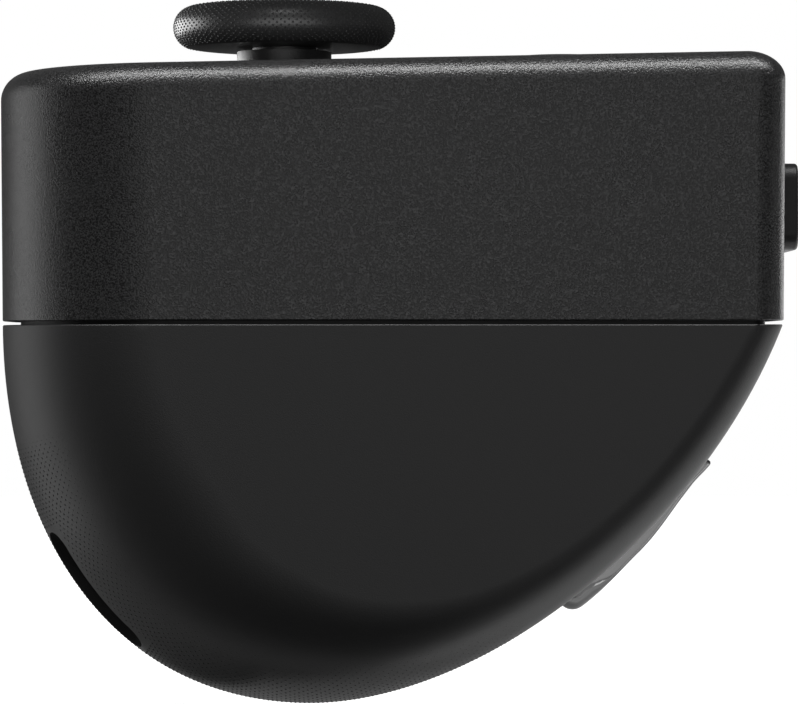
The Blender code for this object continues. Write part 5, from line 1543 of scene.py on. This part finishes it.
# Each lamp's place, brightness, width and height, and the pieces that it alone lights or leaves out
LAMPS = {
    "top_lamp": ((0.0, -0.15, 0.38), 26.0, 0.7, 0.06, "EXCLUDE", STICK_PIECES),
    "chin_lamp": ((0.42, 0.42, -0.1), 2.6, 0.35, 0.3, "EXCLUDE", STICK_PIECES),
    "sky_lamp": ((0.0, -0.6, 0.5), 0.4, 0.8, 0.5, None, ()),
    "front_lamp": ((0.0, -1.0, 0.02), 1.2, 0.35, 0.35, None, ()),
    "rear_lamp": ((-0.565, 0.18, -0.08), 1.35, 0.4, 0.65, None, ()),
    "side_lamp": ((0.6, -0.08, -0.1), 0.3, 0.25, 0.4, None, ()),
    "thumb_crest_lamp": ((0.0, -0.55, 0.6), 15.0, 0.2, 0.1, "INCLUDE", STICK_PIECES),
    "thumb_fill_lamp": ((0.0, -0.6, -0.2), 3.2, 0.8, 0.6, "INCLUDE", STICK_PIECES),
    "thumb_rim_lamp": ((-0.49, 0.33, 0.02), 9.0, 0.6, 0.3, "INCLUDE", STICK_PIECES),
    "trigger_glint_lamp": ((0.4, -0.36, -0.25), 4.0, 0.35, 0.35, "INCLUDE", TRIGGER_PIECES),
    "trigger_fill_lamp": ((0.3, -0.6, -0.2), 1.2, 0.9, 0.6, "INCLUDE", TRIGGER_PIECES),
}

# Corners of the floor and the card, and how far the floor lies below the object
FLOOR = ((-0.045, -0.016), (0.3, -0.016), (0.3, 0.45), (-0.12, 0.45))
CARD = ((-0.01, -0.011), (0.05, -0.032), (0.16, -0.032), (0.16, 0.25), (-0.024, 0.25), (-0.024, 0.006))
FLOOR_DROP = 0.2 * MM

# How strongly the white that the camera sees shows in reflections
FLOOR_SHARE = 0.08
ROOM_SHARE = 0.012


def link_light(source, pieces, state):
    """Lets a lamp light only some pieces, or everything but them."""
    receivers = bpy.data.collections.new(source.name + "_receivers")
    for name in pieces:
        receivers.objects.link(bpy.data.objects[name])
    for item in receivers.collection_objects:
        item.light_linking.link_state = state
    source.light_linking.receiver_collection = receivers


def sheet(name, corners, z, material):
    """A level sheet of the stage."""
    mesh = bpy.data.meshes.new(name)
    mesh.from_pydata([(x, y, z) for x, y in corners], [], [tuple(range(len(corners)))])
    mesh.materials.append(material)
    obj = linked(name, mesh)
    return obj


def white_to_camera(tree, seen, otherwise, output, reflected):
    """Shows one shader to the camera and through clear pieces, faintly to reflections, another to the rest."""
    rays = add(tree, "ShaderNodeLightPath")
    share = add(tree, "ShaderNodeMath", {1: reflected}, operation="MULTIPLY")
    direct = add(tree, "ShaderNodeMath", operation="MAXIMUM")
    either = add(tree, "ShaderNodeMath", operation="MAXIMUM")
    mix = add(tree, "ShaderNodeMixShader")
    wire(
        tree,
        (rays, "Is Glossy Ray", share, 0),
        (share, 0, direct, 0),
        (rays, "Is Camera Ray", direct, 1),
        (direct, 0, either, 0),
        (rays, "Is Transmission Ray", either, 1),
        (either, 0, mix, 0),
        (otherwise, 0, mix, 1),
        (seen, 0, mix, 2),
        (mix, 0, add(tree, output), "Surface"),
    )


def floor_finish():
    """Pale floor that looks white where it is lit and keeps a light shadow."""
    material = bpy.data.materials.new("pale_floor")
    material.use_nodes = True
    tree = material.node_tree
    tree.nodes.clear()
    plain = add(tree, "ShaderNodeBsdfDiffuse", {"Color": (0.25, 0.25, 0.25, 1)})
    faint = add(tree, "ShaderNodeBsdfDiffuse", {"Color": (0.6, 0.6, 0.6, 1)})
    glow = add(tree, "ShaderNodeEmission", {"Strength": 0.94})
    lit = add(tree, "ShaderNodeAddShader")
    wire(tree, (faint, 0, lit, 0), (glow, 0, lit, 1))
    white_to_camera(tree, lit, plain, "ShaderNodeOutputMaterial", FLOOR_SHARE)
    return material


def card_finish(brightness):
    """Pale card that brightens the underside in front."""
    material = bpy.data.materials.new("pale_card")
    material.use_nodes = True
    shader = material.node_tree.nodes["Principled BSDF"]
    shader.inputs["Base Color"].default_value = (0.8, 0.8, 0.8, 1)
    shader.inputs["Emission Color"].default_value = (1, 1, 1, 1)
    shader.inputs["Emission Strength"].default_value = brightness
    return material


class CONTROLLER_OT_stage(ControllerOperator, bpy.types.Operator):
    """Sets the floor, the lamps, the room and the camera"""

    bl_idname = "controller.stage"
    bl_label = "Stage"

    def execute(self, context):
        g = settings().stage
        scene = context.scene
        scene.view_settings.view_transform = "Standard"
        level = CAD_BOX[0][2] - FLOOR_DROP
        sheet("floor", FLOOR, level, floor_finish())
        card = sheet("card", CARD, level + FLOOR_DROP / 2, card_finish(g.card_light))
        card.visible_camera = False
        for name, (place, brightness, across, along, state, pieces) in LAMPS.items():
            source = lamp(name, place, brightness, across, along)
            if pieces:
                link_light(source, pieces, state)
        self.room(scene, g)
        data = bpy.data.cameras.new("camera")
        data.sensor_width = 36
        data.lens = g.lens
        data.clip_start = 0.01
        data.clip_end = 50
        camera = linked("camera", data)
        camera.location = g.camera
        camera.rotation_euler = (pi / 2, 0, 0)
        scene.camera = camera
        return {"FINISHED"}

    def room(self, scene, g):
        """White behind the object for the camera, dim soft light for everything else."""
        scene.world = bpy.data.worlds.new("room")
        scene.world.use_nodes = True
        tree = scene.world.node_tree
        tree.nodes.clear()
        soft = add(tree, "ShaderNodeBackground", {"Strength": g.room})
        white = add(tree, "ShaderNodeBackground", {"Color": (1, 1, 1, 1)})
        white_to_camera(tree, white, soft, "ShaderNodeOutputWorld", ROOM_SHARE)


OPERATORS = (
    CONTROLLER_OT_upper_shell,
    CONTROLLER_OT_lower_shell,
    CONTROLLER_OT_belly_dots,
    CONTROLLER_OT_stick,
    CONTROLLER_OT_front_button,
    CONTROLLER_OT_top_buttons,
    CONTROLLER_OT_domes,
    CONTROLLER_OT_trigger,
    CONTROLLER_OT_strap_bars,
    CONTROLLER_OT_port,
    CONTROLLER_OT_screws,
    CONTROLLER_OT_inside,
    CONTROLLER_OT_stage,
)


class CONTROLLER_PT_panel(bpy.types.Panel):
    """Lists the controller's pieces"""

    bl_label = "Motion controller"
    bl_idname = "CONTROLLER_PT_panel"
    bl_space_type = "VIEW_3D"
    bl_region_type = "UI"
    bl_category = "Controller"

    def draw(self, context):
        for operator in OPERATORS:
            self.layout.operator(operator.bl_idname)


GROUPS = (
    ShellSizes, StickSizes, ButtonSizes, DomeSizes, TriggerSizes, HeelSizes, GripSizes, FinishColours,
    StageSizes, ControllerSettings,
)


def register():
    for cls in (*GROUPS, *OPERATORS, CONTROLLER_PT_panel):
        bpy.utils.register_class(cls)
    bpy.types.Scene.controller = PointerProperty(type=ControllerSettings)


def unregister():
    del bpy.types.Scene.controller
    for cls in reversed((*GROUPS, *OPERATORS, CONTROLLER_PT_panel)):
        bpy.utils.unregister_class(cls)


def main():
    register()
    for operator in OPERATORS:
        group, name = operator.bl_idname.split(".")
        getattr(getattr(bpy.ops, group), name)()


if __name__ == "__main__":
    main()
